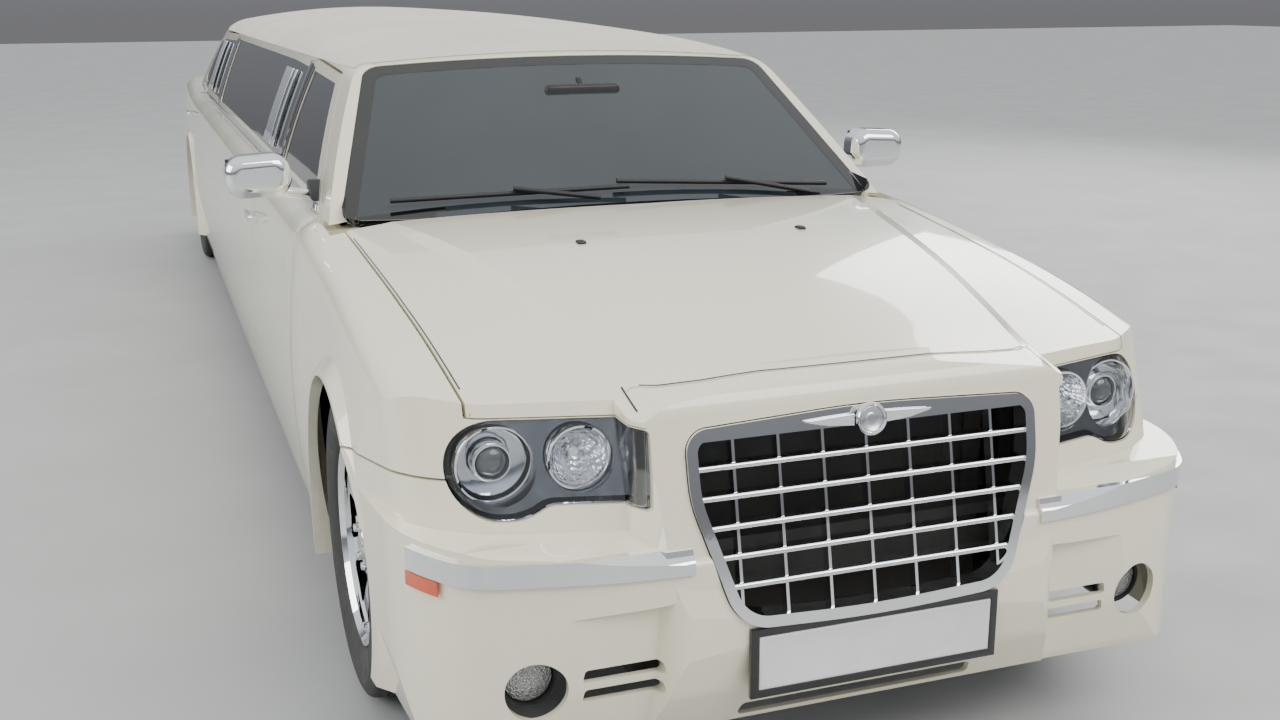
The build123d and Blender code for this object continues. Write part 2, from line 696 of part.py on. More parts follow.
def front_suspension():
    s = FRONT_AXLE
    lower = wishbone(500.3, s, 158, 209, ((505, -112), (600, -24), (600, 24), (505, 112)))
    upper = wishbone(478.3, s, 130, 507, ((500, -96), (560, -60), (604, -18), (604, 18),
                                          (560, 60), (500, 96)))
    bores = Pos(650, s, 368) * Cylinder(9.6, 400)
    spring = Pos(548, s, 495) * Cylinder(38, 536)
    seat = block((505, 604), (s - 30, s + 30), (209, 229))
    cross = [block((0, 504), (s + t - 15, s + t + 15), (209, 238)) for t in (-140, 140)]
    risers = [block((440, 480), (s + t - 15, s + t + 15), (235, 300)) for t in (-140, 140)]
    rack = disc(24, -10, 420, s - 190, 272) + block((380, 410), (s - 200, s - 150), (225, 260))
    rack += block((380, 410), (s - 160, s - 130), (212, 240))
    low = joined([lower - bores, seat, spring, *cross, *risers, rack])
    return Compound(children=[*both(low).solids(), *pair(upper - bores).solids()])


def rear_suspension():
    s = REAR_AXLE
    arm = wishbone(500.3, s, 158, 236, ((505, -112), (600, -24), (600, 24), (505, 112)))
    cross = [block((0, 504), (s + t - 18, s + t + 18), (236, 262)) for t in (-140, 140)]
    upper = block((330, 650), (s - 20, s + 20), (455, 467))
    tower = Pos(500, s + 78, 360) * Cylinder(44, 218)
    links = [block((330, 360), (s + t - 18, s + t + 18), (250, 468)) for t in (-140, 140)]
    links.append(block((330, 360), (s - 150, s + 150), (440, 468)))
    return both(joined([*knuckle_parts(s), arm, *cross, upper, tower, *links,
                        block((455, 545), (s + 20, s + 150), (236, 256))]))


def revolved(points, radii, plane=Plane.XY, axis=Axis.X):
    return revolve(rounded(points, radii, plane), axis)


def spoked_rim(station):
    """A wheel about the X axis, its face towards +X, with the brake disc on its hub."""
    barrel = revolved([(-97, 241), (-90, 241), (-84, 229), (84, 229), (90, 241), (97, 241),
                       (97, 231), (84, 219), (-84, 219), (-97, 231)], 1)
    face = revolved([(34, 0), (34, 70), (40, 130), (52, 221), (76, 221), (62, 130), (74, 66),
                     (68, 0)], 0)
    window = extrude(make_face(Plane.YZ.offset(20) * FilletPolyline(
        (90, -17), (200, -66), (200, 66), (90, 17), radius=[8, 16, 16, 8], close=True)), amount=80)
    for turn in range(7):
        face -= Rot(turn * 360 / 7, 0, 0) * window
    hub = Pos(-20, 0, 0) * Rot(0, 90, 0) * Cylinder(70, 116)
    brake = Pos(-65, 0, 0) * Rot(0, 90, 0) * Cylinder(165, 26)
    bore = Pos(-50, 0, 0) * Rot(0, 90, 0) * Cylinder(20.6, 160)
    wheel = joined([barrel, face, hub, brake]) - bore
    return Pos(TRACK_HALF, station, TYRE_RADIUS) * wheel


def tyre(station):
    side = [(83, 229.4), (91, 246), (TYRE_WIDTH / 2, 308), (95, TYRE_RADIUS)]
    profile = side + [(-x, r) for x, r in reversed(side)]
    return Pos(TRACK_HALF, station, TYRE_RADIUS) * revolved(profile, 0)


def floor_pan():
    profile = [(1500, 250), (6300, 250), (6318, 365), (6690, 365), (6708, 485), (7955, 485),
               (7955, 470), (6720, 470), (6702, 350), (6330, 350), (6312, 235), (1500, 235)]
    sheet = across(profile, 0, 0, 900) & half_lower(WALL, 90)
    sheet -= disc(416, 553, 1000, REAR_AXLE, TYRE_RADIUS)
    sheet -= block((-1, 118), (1490, 2340), (230, 260))
    tunnel = block((0, 130), (1500, 2352), (235, 440)) - block((-1, 118), (1490, 2340), (230, 428))
    return both(biggest(sheet + tunnel))


def driveline():
    gearbox = revolve(rounded([(0, 895), (104, 895), (100, 1080), (70, 1180), (62, 1600),
                               (0, 1600)], [0, 10, 60, 60, 20, 0], Plane.XY), Axis.Y)
    pieces = [Pos(0, 0, 345) * gearbox, rod((0, 1590, 343), (0, 2300, 194), 34),
              rod((0, 2290, 194), (0, 6460, 194), 34), rod((0, 6450, 194), (0, 6870, 318), 34)]
    pieces += [rod((0, s - 30, 194), (0, s + 30, 194), 39) for s in (2320, 4300, 6420)]
    pieces.append(block((-120, 120), (4280, 4320), (222, 234.6)))
    pieces.append(Pos(0, REAR_AXLE, 340) * Sphere(112))
    pieces.append(disc(22, -633, 633, REAR_AXLE, TYRE_RADIUS))
    return joined(pieces)


def exhaust():
    pipe = rod((230, 1150, 200), (230, 7420, 200), 26)
    cat = rod((230, 1900, 200), (230, 2300, 200), 30)
    box = upright([(210, 7400), (520, 7400), (520, 7800), (210, 7800)], 60, 182, 330)
    tips = rod((520, 7700, 262), (520, LENGTH - 8, 262), 36) - rod((520, 7850, 262),
                                                                    (520, LENGTH, 262), 32)
    return pair(joined([pipe, cat, box, tips]))


def fuel_tank():
    lobe = upright([(62, 6340), (470, 6340), (470, 6686), (62, 6686)], 40, 232, 345)
    return both(lobe + block((0, 80), (6350, 6650), (322, 345)))


def engine():
    return across([(335, 300), (335, 760), (420, 800), (880, 800), (885, 300)], 30, -290, 290)


def radiator():
    core = block((-330, 330), (240, 280), (300, 790))
    tanks = [block((x, x + 44), (232, 289), (300, 790)) for x in (-374, 330)]
    return joined([core, *tanks])


# Cabin
def inside(shape):
    """What of a half piece fits in the cabin, clear of its walls."""
    free = half_lower(WALL + 4, 90) + half_greenhouse(PILLAR + 4, CABIN_FLOOR - 90)
    return shape & free


def dashboard():
    profile = [(1545, 620), (1545, 945), (1640, 1000), (1840, 990), (1900, 930), (1870, 720),
               (1740, 620)]
    top = inside(across(profile, [20, 30, 60, 60, 40, 60, 40], 0, 790))
    wheel = Pos(370, 2010, 850) * Rot(62, 0, 0) * (
        Torus(182, 14) + Box(350, 34, 16) + Cylinder(56, 34))
    column = rod((370, 1860, 790), (370, 2006, 846), 30)
    return both(top) + wheel + column


def front_seats():
    profile = [(2040, 252), (2030, 500), (2110, 530), (2480, 500), (2650, 1100), (2750, 1100),
               (2640, 480), (2560, 252)]
    seat = across(profile, [10, 40, 60, 60, 40, 40, 60, 10], 140, 640)
    rest = across([(2690, 1080), (2690, 1290), (2780, 1290), (2770, 1080)], 30, 270, 510)
    return pair(seat + rest)


def lounge_seats():
    bench = along([(-815, 252), (-330, 252), (-320, 470), (-660, 480), (-700, 850), (-800, 850)],
                  [10, 10, 40, 60, 40, 40], 3400, 5700)
    profile = [(6200, 252), (6200, 560), (6260, 585), (6620, 550), (6760, 1080), (6880, 1080),
               (6800, 600), (6712, 488), (6688, 470), (6688, 368), (6314, 368), (6296, 350),
               (6296, 252)]
    rear = across(profile, [10, 30, 30, 50, 40, 40, 60, 0, 0, 0, 0, 0, 0], -540, 540)
    return Compound(children=[*bench.solids(), *rear.solids()])


def lounge_cabinets():
    bar = along([(560, 252), (815, 252), (825, 760), (520, 760), (520, 730), (560, 730)], 6,
                3400, 5400)
    wall = inside(block((0, 900), (2905, 2935), (252, 1500)))
    wall -= block((-10, 420), (2900, 2940), (980, 1300))
    return Compound(children=[*bar.solids(), *both(wall).solids()])


def shifted(shape):
    return Pos(0, -LENGTH / 2, 0) * shape


def flipped(shape):
    return mirror(shape, about=Plane.YZ)


left_parts = {
    "front_door": lambda: door(FRONT_DOOR_SIDE, FRONT_DOOR_ROUND, FRONT_LIGHT),
    "rear_door": lambda: door(REAR_DOOR_SIDE, REAR_DOOR_ROUND, REAR_LIGHT),
    "front_door_glass": lambda: pane(FRONT_LIGHT),
    "rear_door_glass": lambda: pane(REAR_LIGHT),
    "front_handle": lambda: handle(2630, 880),
    "rear_handle": lambda: handle(6640, 920),
    "mirror": mirror_pod,
    "knuckle": knuckle,
    "front_rim": lambda: spoked_rim(FRONT_AXLE),
    "rear_rim": lambda: spoked_rim(REAR_AXLE),
    "front_tyre": lambda: tyre(FRONT_AXLE),
    "rear_tyre": lambda: tyre(REAR_AXLE),
}
whole_parts = [
    body_shell, roof_panel, roof_cover, bonnet, front_fenders, front_bumper, rear_bumper, boot_lid,
    headlamp_lenses, headlamp_housings, grille, fog_lamps, bumper_trim, side_markers, tail_lamps,
    windscreen, rear_window, side_glass, window_trim, cowl_panel, wipers, front_frame,
    front_suspension, rear_suspension, floor_pan, driveline, exhaust, fuel_tank, engine, radiator,
    dashboard, front_seats, lounge_seats, lounge_cabinets,
]

os.makedirs("parts", exist_ok=True)
for name, make in left_parts.items():
    piece = make()
    export_step(shifted(piece), f"parts/{name}_left.step")
    export_step(shifted(flipped(piece)), f"parts/{name}_right.step")
for make in whole_parts:
    export_step(shifted(make()), f"parts/{make.__name__}.step")
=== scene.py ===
import bpy
import json
from math import atan2, cos, hypot, pi, radians, sin
from mathutils import Matrix, Vector


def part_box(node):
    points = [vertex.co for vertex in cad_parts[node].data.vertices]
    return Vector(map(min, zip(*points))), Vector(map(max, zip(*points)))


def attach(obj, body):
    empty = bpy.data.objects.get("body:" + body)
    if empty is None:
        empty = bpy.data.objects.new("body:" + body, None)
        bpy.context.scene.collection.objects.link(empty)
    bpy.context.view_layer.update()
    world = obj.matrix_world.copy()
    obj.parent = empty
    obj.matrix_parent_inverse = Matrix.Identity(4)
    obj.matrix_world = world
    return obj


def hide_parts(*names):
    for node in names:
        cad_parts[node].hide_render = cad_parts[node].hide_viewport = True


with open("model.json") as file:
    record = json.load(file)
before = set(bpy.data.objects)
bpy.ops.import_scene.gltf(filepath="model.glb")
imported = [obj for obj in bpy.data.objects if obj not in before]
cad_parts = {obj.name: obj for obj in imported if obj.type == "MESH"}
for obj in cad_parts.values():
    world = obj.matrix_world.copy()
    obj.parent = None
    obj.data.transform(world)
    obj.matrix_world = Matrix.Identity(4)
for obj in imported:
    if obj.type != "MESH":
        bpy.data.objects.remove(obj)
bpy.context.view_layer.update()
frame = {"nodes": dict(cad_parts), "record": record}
nodes = frame["nodes"]


def middle(node):
    low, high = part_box(node)
    return (Vector(low) + Vector(high)) / 2


# Sizes in metres. A station is the distance behind the front bumper's face.
FRONT_AXLE = 0.885
REAR_AXLE = 6.981
FRONT_Y = middle("front_rim_left").y - FRONT_AXLE
TRACK_HALF = 0.800
WHEEL_Z = 0.3635
SIDES = (("left", 1), ("right", -1))
SCREEN_BASE = (1.477, 1.052)
SCREEN_HEAD = (1.999, 1.427)
BACKLIGHT_BASE = (7.478, 1.112)
BACKLIGHT_HEAD = (6.960, 1.452)


def at(x, station, z):
    """A point of the car from its distance off the centre line, its station and its height."""
    return Vector((x, FRONT_Y + station, z))


# Shared effects
def new_group(name, inputs, outputs):
    """A shader node group with named inputs (kind, value) and outputs."""
    group = bpy.data.node_groups.new(name, "ShaderNodeTree")
    for label, (kind, value) in inputs.items():
        socket = group.interface.new_socket(label, in_out="INPUT", socket_type="NodeSocket" + kind)
        socket.default_value = value
    for label, kind in outputs.items():
        group.interface.new_socket(label, in_out="OUTPUT", socket_type="NodeSocket" + kind)
    return group, group.nodes.new("NodeGroupInput"), group.nodes.new("NodeGroupOutput")


def noise(tree, scale_from, detail, stretch=None):
    """Noise in object coordinates, its scale given by a socket."""
    place = tree.nodes.new("ShaderNodeTexCoord")
    texture = tree.nodes.new("ShaderNodeTexNoise")
    texture.inputs["Detail"].default_value = detail
    source = place.outputs["Object"]
    if stretch:
        mapping = tree.nodes.new("ShaderNodeMapping")
        mapping.inputs["Scale"].default_value = stretch
        tree.links.new(source, mapping.inputs["Vector"])
        source = mapping.outputs["Vector"]
    tree.links.new(source, texture.inputs["Vector"])
    tree.links.new(scale_from, texture.inputs["Scale"])
    return texture.outputs["Fac"]


def make_mottle():
    """Colour that drifts softly between two tones."""
    inputs = {"First": ("Color", (1, 1, 1, 1)), "Second": ("Color", (0, 0, 0, 1)),
              "Scale": ("Float", 3), "Contrast": ("Float", 1)}
    group, given, result = new_group("mottle", inputs, {"Color": "Color"})
    spread = group.nodes.new("ShaderNodeMapRange")
    spread.inputs["From Min"].default_value = 0.35
    spread.inputs["From Max"].default_value = 0.65
    blend = group.nodes.new("ShaderNodeMix")
    blend.data_type = "RGBA"
    group.links.new(noise(group, given.outputs["Scale"], 5), spread.inputs["Value"])
    group.links.new(given.outputs["Contrast"], spread.inputs["To Max"])
    group.links.new(spread.outputs["Result"], blend.inputs["Factor"])
    group.links.new(given.outputs["First"], blend.inputs["A"])
    group.links.new(given.outputs["Second"], blend.inputs["B"])
    group.links.new(blend.outputs["Result"], result.inputs["Color"])
    return group


def make_handling():
    """Roughness between two values, for wiped and less wiped places."""
    inputs = {"Smooth": ("Float", 0.1), "Rough": ("Float", 0.3), "Scale": ("Float", 4)}
    group, given, result = new_group("handling", inputs, {"Roughness": "Float"})
    spread = group.nodes.new("ShaderNodeMapRange")
    spread.inputs["From Min"].default_value = 0.3
    spread.inputs["From Max"].default_value = 0.7
    group.links.new(noise(group, given.outputs["Scale"], 6), spread.inputs["Value"])
    group.links.new(given.outputs["Smooth"], spread.inputs["To Min"])
    group.links.new(given.outputs["Rough"], spread.inputs["To Max"])
    group.links.new(spread.outputs["Result"], result.inputs["Roughness"])
    return group


def make_grain():
    """A fine uneven relief as a normal; Depth is in metres."""
    inputs = {"Scale": ("Float", 200), "Depth": ("Float", 0.0002)}
    group, given, result = new_group("grain", inputs, {"Normal": "Vector"})
    bump = group.nodes.new("ShaderNodeBump")
    group.links.new(noise(group, given.outputs["Scale"], 3), bump.inputs["Height"])
    group.links.new(given.outputs["Depth"], bump.inputs["Distance"])
    group.links.new(bump.outputs["Normal"], result.inputs["Normal"])
    return group


def make_road_dust():
    """Colour that a dusty film covers towards the ground."""
    inputs = {"Color": ("Color", (1, 1, 1, 1)), "Dust": ("Color", (0.3, 0.27, 0.22, 1)),
              "Top": ("Float", 0.5), "Amount": ("Float", 0.4)}
    group, given, result = new_group("road_dust", inputs, {"Color": "Color"})
    place = group.nodes.new("ShaderNodeTexCoord")
    split = group.nodes.new("ShaderNodeSeparateXYZ")
    height = group.nodes.new("ShaderNodeMapRange")
    height.inputs["To Min"].default_value = 1
    height.inputs["To Max"].default_value = 0
    patches = group.nodes.new("ShaderNodeTexNoise")
    patches.inputs["Scale"].default_value = 9
    patches.inputs["Detail"].default_value = 6
    share = group.nodes.new("ShaderNodeMath")
    share.operation = "MULTIPLY"
    total = group.nodes.new("ShaderNodeMath")
    total.operation = "MULTIPLY"
    blend = group.nodes.new("ShaderNodeMix")
    blend.data_type = "RGBA"
    group.links.new(place.outputs["Object"], split.inputs["Vector"])
    group.links.new(place.outputs["Object"], patches.inputs["Vector"])
    group.links.new(split.outputs["Z"], height.inputs["Value"])
    group.links.new(given.outputs["Top"], height.inputs["From Max"])
    group.links.new(height.outputs["Result"], share.inputs[0])
    group.links.new(patches.outputs["Fac"], share.inputs[1])
    group.links.new(share.outputs[0], total.inputs[0])
    group.links.new(given.outputs["Amount"], total.inputs[1])
    group.links.new(total.outputs[0], blend.inputs["Factor"])
    group.links.new(given.outputs["Color"], blend.inputs["A"])
    group.links.new(given.outputs["Dust"], blend.inputs["B"])
    group.links.new(blend.outputs["Result"], result.inputs["Color"])
    return group


def make_facets():
    """Angular cells as a normal; Depth is in metres."""
    inputs = {"Scale": ("Float", 100), "Depth": ("Float", 0.002)}
    group, given, result = new_group("facets", inputs, {"Normal": "Vector"})
    place = group.nodes.new("ShaderNodeTexCoord")
    cells = group.nodes.new("ShaderNodeTexVoronoi")
    bump = group.nodes.new("ShaderNodeBump")
    group.links.new(place.outputs["Object"], cells.inputs["Vector"])
    group.links.new(given.outputs["Scale"], cells.inputs["Scale"])
    group.links.new(cells.outputs["Distance"], bump.inputs["Height"])
    group.links.new(given.outputs["Depth"], bump.inputs["Distance"])
    group.links.new(bump.outputs["Normal"], result.inputs["Normal"])
    return group


mottle = make_mottle()
handling = make_handling()
grain = make_grain()
facets = make_facets()
road_dust = make_road_dust()


# Materials
def place_group(material, group, **values):
    node = material.node_tree.nodes.new("ShaderNodeGroup")
    node.node_tree = group
    for label, value in values.items():
        node.inputs[label].default_value = value
    return node


def surface(name, first, second, smooth, rough, scale=4, **sockets):
    """A material whose colour and roughness drift between two values each."""
    material = bpy.data.materials.new(name)
    material.use_nodes = True
    shader = material.node_tree.nodes["Principled BSDF"]
    for label, value in sockets.items():
        shader.inputs[label.replace("_", " ")].default_value = value
    colour = place_group(material, mottle, First=(*first, 1), Second=(*second, 1), Scale=scale)
    gloss = place_group(material, handling, Smooth=smooth, Rough=rough, Scale=scale * 2)
    links = material.node_tree.links
    links.new(colour.outputs["Color"], shader.inputs["Base Color"])
    links.new(gloss.outputs["Roughness"], shader.inputs["Roughness"])
    return material


def shader_of(material):
    return material.node_tree.nodes["Principled BSDF"]


def with_grain(material, scale, depth, target="Normal"):
    relief = place_group(material, grain, Scale=scale, Depth=depth)
    material.node_tree.links.new(relief.outputs["Normal"], shader_of(material).inputs[target])
    return material


def with_facets(material, scale, depth):
    """Pressed facets, as in a reflector or a patterned lens."""
    relief = place_group(material, facets, Scale=scale, Depth=depth)
    material.node_tree.links.new(relief.outputs["Normal"], shader_of(material).inputs["Normal"])
    return material


def with_dust(material, top, amount):
    """Adds the dusty film between the colour and the shader."""
    shader = shader_of(material)
    before = shader.inputs["Base Color"].links[0].from_socket
    film = place_group(material, road_dust, Top=top, Amount=amount)
    material.node_tree.links.new(before, film.inputs["Color"])
    material.node_tree.links.new(film.outputs["Color"], shader.inputs["Base Color"])
    return material


def make_paint():
    material = surface("ivory_paint", (0.90, 0.855, 0.655), (0.88, 0.83, 0.625), 0.16, 0.26, 1.5,
                       Coat_Weight=1.0, Coat_Roughness=0.03, Specular_IOR_Level=0.45)
    return with_dust(with_grain(material, 1600, 0.00002), 0.45, 0.30)


def make_vinyl():
    material = surface("cream_vinyl", (0.70, 0.67, 0.57), (0.64, 0.61, 0.51), 0.55, 0.72, 2.5,
                       Sheen_Weight=0.15)
    return with_grain(material, 420, 0.0006)


def make_chrome():
    material = surface("bright_chrome", (0.90, 0.91, 0.92), (0.84, 0.85, 0.87), 0.02, 0.07, 6,
                       Metallic=1.0)
    return with_grain(material, 30, 0.00004)


def make_screen_glass():
    return surface("screen_glass", (0.050, 0.066, 0.076), (0.036, 0.050, 0.060), 0.0, 0.03, 2,
                   Transmission_Weight=0.45, IOR=1.52, Coat_Weight=0.5)


def make_dark_glass():
    return surface("dark_glass", (0.012, 0.014, 0.016), (0.02, 0.022, 0.024), 0.01, 0.05, 2,
                   Transmission_Weight=0.25, IOR=1.5, Coat_Weight=0.5)


def make_lens():
    return surface("lamp_lens", (0.94, 0.95, 0.96), (0.90, 0.91, 0.93), 0.0, 0.03, 8,
                   Transmission_Weight=1.0, IOR=1.4)


def make_bowl():
    return surface("lamp_bowl", (0.74, 0.75, 0.78), (0.62, 0.63, 0.66), 0.08, 0.20, 20,
                   Metallic=0.9)


def make_amber():
    return surface("amber_lens", (0.72, 0.095, 0.004), (0.62, 0.070, 0.003), 0.05, 0.12, 30,
                   Coat_Weight=1.0)


def make_red():
    material = surface("red_lens", (0.36, 0.008, 0.008), (0.26, 0.005, 0.005), 0.06, 0.12, 30,
                       Coat_Weight=1.0)
    return with_facets(material, 70, 0.001)


def make_black_plastic():
    material = surface("black_plastic", (0.014, 0.014, 0.015), (0.022, 0.022, 0.023), 0.38, 0.55, 12)
    return with_grain(material, 900, 0.0002)


def make_tyre_rubber():
    material = surface("tyre_rubber", (0.012, 0.012, 0.013), (0.022, 0.021, 0.020), 0.55, 0.78, 14)
    return with_dust(with_grain(material, 500, 0.0003), 0.7, 0.10)


def make_iron():
    material = surface("black_iron", (0.02, 0.02, 0.02), (0.045, 0.042, 0.038), 0.45, 0.75, 25)
    return with_dust(with_grain(material, 250, 0.0004), 0.6, 0.35)


def make_bright_steel():
    material = surface("exhaust_steel", (0.42, 0.41, 0.40), (0.34, 0.32, 0.30), 0.25, 0.45, 16,
                       Metallic=1.0)
    return with_grain(material, 300, 0.0001)


def make_aluminium():
    material = surface("cast_aluminium", (0.46, 0.46, 0.47), (0.36, 0.36, 0.37), 0.35, 0.55, 20,
                       Metallic=0.9)
    return with_grain(material, 350, 0.0003)


def make_leather():
    material = surface("dark_leather", (0.030, 0.027, 0.026), (0.045, 0.041, 0.039), 0.35, 0.52, 10,
                       Sheen_Weight=0.08)
    return with_grain(material, 380, 0.0005)


def make_wood():
    return surface("lacquered_wood", (0.13, 0.055, 0.022), (0.06, 0.025, 0.012), 0.12, 0.22, 5,
                   Coat_Weight=0.8)


def make_underseal():
    material = surface("underseal", (0.018, 0.018, 0.018), (0.035, 0.033, 0.030), 0.6, 0.85, 8)
    return with_dust(with_grain(material, 120, 0.001), 0.7, 0.35)


finishes = {
    "paint": make_paint(), "vinyl": make_vinyl(), "chrome": make_chrome(),
    "clear_glass": make_screen_glass(), "dark_glass": make_dark_glass(),
    "lamp_bowl": make_bowl(), "amber": make_amber(), "red": make_red(),
    "black_plastic": make_black_plastic(), "tyre": make_tyre_rubber(), "steel": make_iron(),
    "bright_steel": make_bright_steel(), "aluminium": make_aluminium(),
    "leather": make_leather(), "wood": make_wood(), "under": make_underseal(),
}
lamp_lens = make_lens()
lamp_mirror = surface("lamp_mirror", (0.86, 0.87, 0.89), (0.78, 0.79, 0.82), 0.04, 0.10, 30, Metallic=1.0)
faceted_mirror = with_facets(surface("faceted_mirror", (0.88, 0.89, 0.91), (0.80, 0.81, 0.84), 0.05,
                                     0.12, 40, Metallic=1.0), 90, 0.002)
# A darker copy of the lamp bowl's metal, for the headlamp housings: painted shade inside the lamps.
shaded_lamp_bowl = surface("shaded_lamp_bowl", (0.20, 0.205, 0.215), (0.14, 0.145, 0.155), 0.12, 0.24, 20, Metallic=0.9)
eye_glass = surface("eye_glass", (0.20, 0.21, 0.23), (0.14, 0.15, 0.17), 0.0, 0.03, 20,
                    Transmission_Weight=0.35, IOR=1.5, Coat_Weight=1.0)
fog_glass = with_facets(surface("fog_glass", (0.62, 0.63, 0.62), (0.42, 0.43, 0.43), 0.08, 0.22, 160,
                                Metallic=0.5, Coat_Weight=0.9), 220, 0.003)
satin_chrome = surface("satin_chrome", (0.62, 0.63, 0.65), (0.52, 0.53, 0.55), 0.22, 0.36, 20,
                       Metallic=1.0)
carpet = with_grain(surface("dark_carpet", (0.020, 0.019, 0.019), (0.036, 0.034, 0.033), 0.85, 1.0, 60,
                            Sheen_Weight=0.3), 900, 0.002)
plate_white = with_grain(surface("plate_white", (0.80, 0.80, 0.78), (0.72, 0.72, 0.70), 0.20, 0.35, 9),
                         260, 0.0001)
black_gloss = surface("black_gloss", (0.006, 0.006, 0.007), (0.010, 0.010, 0.011), 0.06, 0.16, 5,
                      Coat_Weight=0.6)


# Modelling steps that many pieces share
MERGE_DISTANCE = 0.00002


def deselect():
    active = bpy.context.view_layer.objects.active
    if active and active.mode != "OBJECT":
        bpy.ops.object.mode_set(mode="OBJECT")
    bpy.ops.object.select_all(action="DESELECT")


def choose(piece):
    """Makes a piece the only selected and the active one."""
    deselect()
    piece.select_set(True)
    bpy.context.view_layer.objects.active = piece


def apply_place(piece):
    choose(piece)
    bpy.ops.object.transform_apply(location=True, rotation=True, scale=True)


def open_all():
    """Opens the active piece for editing, all of it selected."""
    bpy.ops.object.mode_set(mode="EDIT")
    bpy.ops.mesh.select_all(action="SELECT")


def begin(name, add, **where):
    """Adds a primitive on its own and opens it for editing, all of it selected."""
    deselect()
    add(**where)
    piece = bpy.context.active_object
    piece.name = name
    open_all()
    return piece


def trace(name, points):
    """A line of edges drawn through points by extruding one vertex."""
    piece = begin(name, bpy.ops.mesh.primitive_plane_add, size=0.01, location=points[0])
    bpy.ops.mesh.merge(type="CENTER")
    for here, there in zip(points, points[1:]):
        step = Vector(there) - Vector(here)
        bpy.ops.mesh.extrude_region_move(TRANSFORM_OT_translate={"value": step})
    bpy.ops.mesh.select_all(action="SELECT")
    return piece


def close_up():
    """Merges doubles and turns every face outwards."""
    bpy.ops.mesh.select_all(action="SELECT")
    bpy.ops.mesh.remove_doubles(threshold=MERGE_DISTANCE)
    bpy.ops.mesh.normals_make_consistent(inside=False)


def pick_faces(piece, wanted):
    """Selects only the faces that pass a test, in face mode."""
    if piece.mode != "EDIT":
        bpy.ops.object.mode_set(mode="EDIT")
    bpy.ops.mesh.select_mode(type="FACE")
    bpy.ops.mesh.select_all(action="DESELECT")
    bpy.ops.object.mode_set(mode="OBJECT")
    for face in piece.data.polygons:
        face.select = wanted(face)
    bpy.ops.object.mode_set(mode="EDIT")


def modify(piece, kind, **settings):
    """Adds a modifier and applies it."""
    if piece.mode != "OBJECT":
        bpy.ops.object.mode_set(mode="OBJECT")
    modifier = piece.modifiers.new(kind.lower(), kind)
    for label, value in settings.items():
        setattr(modifier, label, value)
    bpy.context.view_layer.objects.active = piece
    bpy.ops.object.modifier_apply(modifier=modifier.name)


def done(piece, body, slot, material=None, angle=35):
    """Applies the place, smooths, gives the finish and puts the piece on its body."""
    apply_place(piece)
    bpy.ops.object.shade_smooth_by_angle(angle=radians(angle))
    piece.data.materials.clear()
    piece.data.materials.append(material or finishes[slot])
    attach(piece, body)
    return piece


def spun(name, profile, centre, axis, steps=48):
    """Turns a profile of (along, radius) points about an axis; an open one is closed first."""
    axis = Vector(axis)
    if profile[0][1] > 0 and profile[-1][1] > 0:
        profile = [*profile, profile[0]]
    outward = Vector((0, 0, 1))
    piece = trace(name, [centre + axis * along + outward * radius for along, radius in profile])
    bpy.ops.mesh.spin(steps=steps, angle=2 * pi, center=centre, axis=axis)
    close_up()
    return piece


def slab(name, outline, step):
    """A closed outline of points, filled and extruded by a step."""
    piece = trace(name, outline)
    bpy.ops.mesh.edge_face_add()
    bpy.ops.mesh.extrude_region_move(TRANSFORM_OT_translate={"value": Vector(step)})
    close_up()
    return piece


def join(pieces):
    """Joins pieces into the first one."""
    deselect()
    for piece in pieces:
        piece.select_set(True)
    bpy.context.view_layer.objects.active = pieces[0]
    bpy.ops.object.join()
    return pieces[0]


def copy_of(piece, name, shift):
    """A copy with its own mesh, moved by a shift."""
    twin = piece.copy()
    twin.data = piece.data.copy()
    twin.name = name
    bpy.context.scene.collection.objects.link(twin)
    twin.location = piece.location + Vector(shift)
    apply_place(twin)
    return twin


def mirrored(piece, name):
    """A mirror image across the centre line, with its own mesh."""
    twin = copy_of(piece, name, (0, 0, 0))
    open_all()
    bpy.ops.transform.resize(value=(-1, 1, 1), center_override=(0, 0, 0))
    close_up()
    bpy.ops.object.mode_set(mode="OBJECT")
    return twin


def on_body(piece, target, axis, lift):
    """Lays a subdivided sheet on a CAD surface, lifted off it."""
    modify(piece, "SHRINKWRAP", target=nodes[target], wrap_method="PROJECT",
           use_project_x=axis == "X", use_project_y=axis == "Y", use_project_z=axis == "Z",
           use_negative_direction=True, use_positive_direction=True, offset=lift)


def along_screen(base, head, x, up, lift, bend):
    """A point over a screen: x across, up its slope, lifted off it; bend is its radius across."""
    rise = Vector((0, head[0] - base[0], head[1] - base[1])).normalized()
    outward = Vector((0, -rise.z, rise.y)) if rise.y > 0 else Vector((0, rise.z, -rise.y))
    return at(x, *base) + rise * up + outward * (lift - x * x / (2 * bend))


def dress_frame():
    """Gives every CAD node the finish of its material slot."""
    # The headlamp housings wear the darker lamp bowl: painted shade inside the lamps.
    # The radiator wears the dark underseal in place of its aluminium: partly a dark core, partly painted
    # shade behind the grille.
    own = {"headlamp_lenses": lamp_lens, "radiator": finishes["under"],
           "headlamp_housings": shaded_lamp_bowl}
    for part in frame["record"]["subparts"]:
        material = own.get(part["node"], finishes[part["material_slot"]])
        mesh = nodes[part["node"]].data
        mesh.materials.clear()
        mesh.materials.append(material)


# Tyres. The two bands with cross grooves are (from, to, least distance), all measured from the
# bead where the section starts, so the grooves reach round part of the tyre only.
TREAD_STEPS = 216
BLOCK_STEPS = 4
GROOVE_DEPTH = 0.006
SIDE_SHIFT = 2
MIDDLE_BAND = (0.071, 0.100, 0.353)
SIDE_BAND = (0.031, 0.060, 0.360)


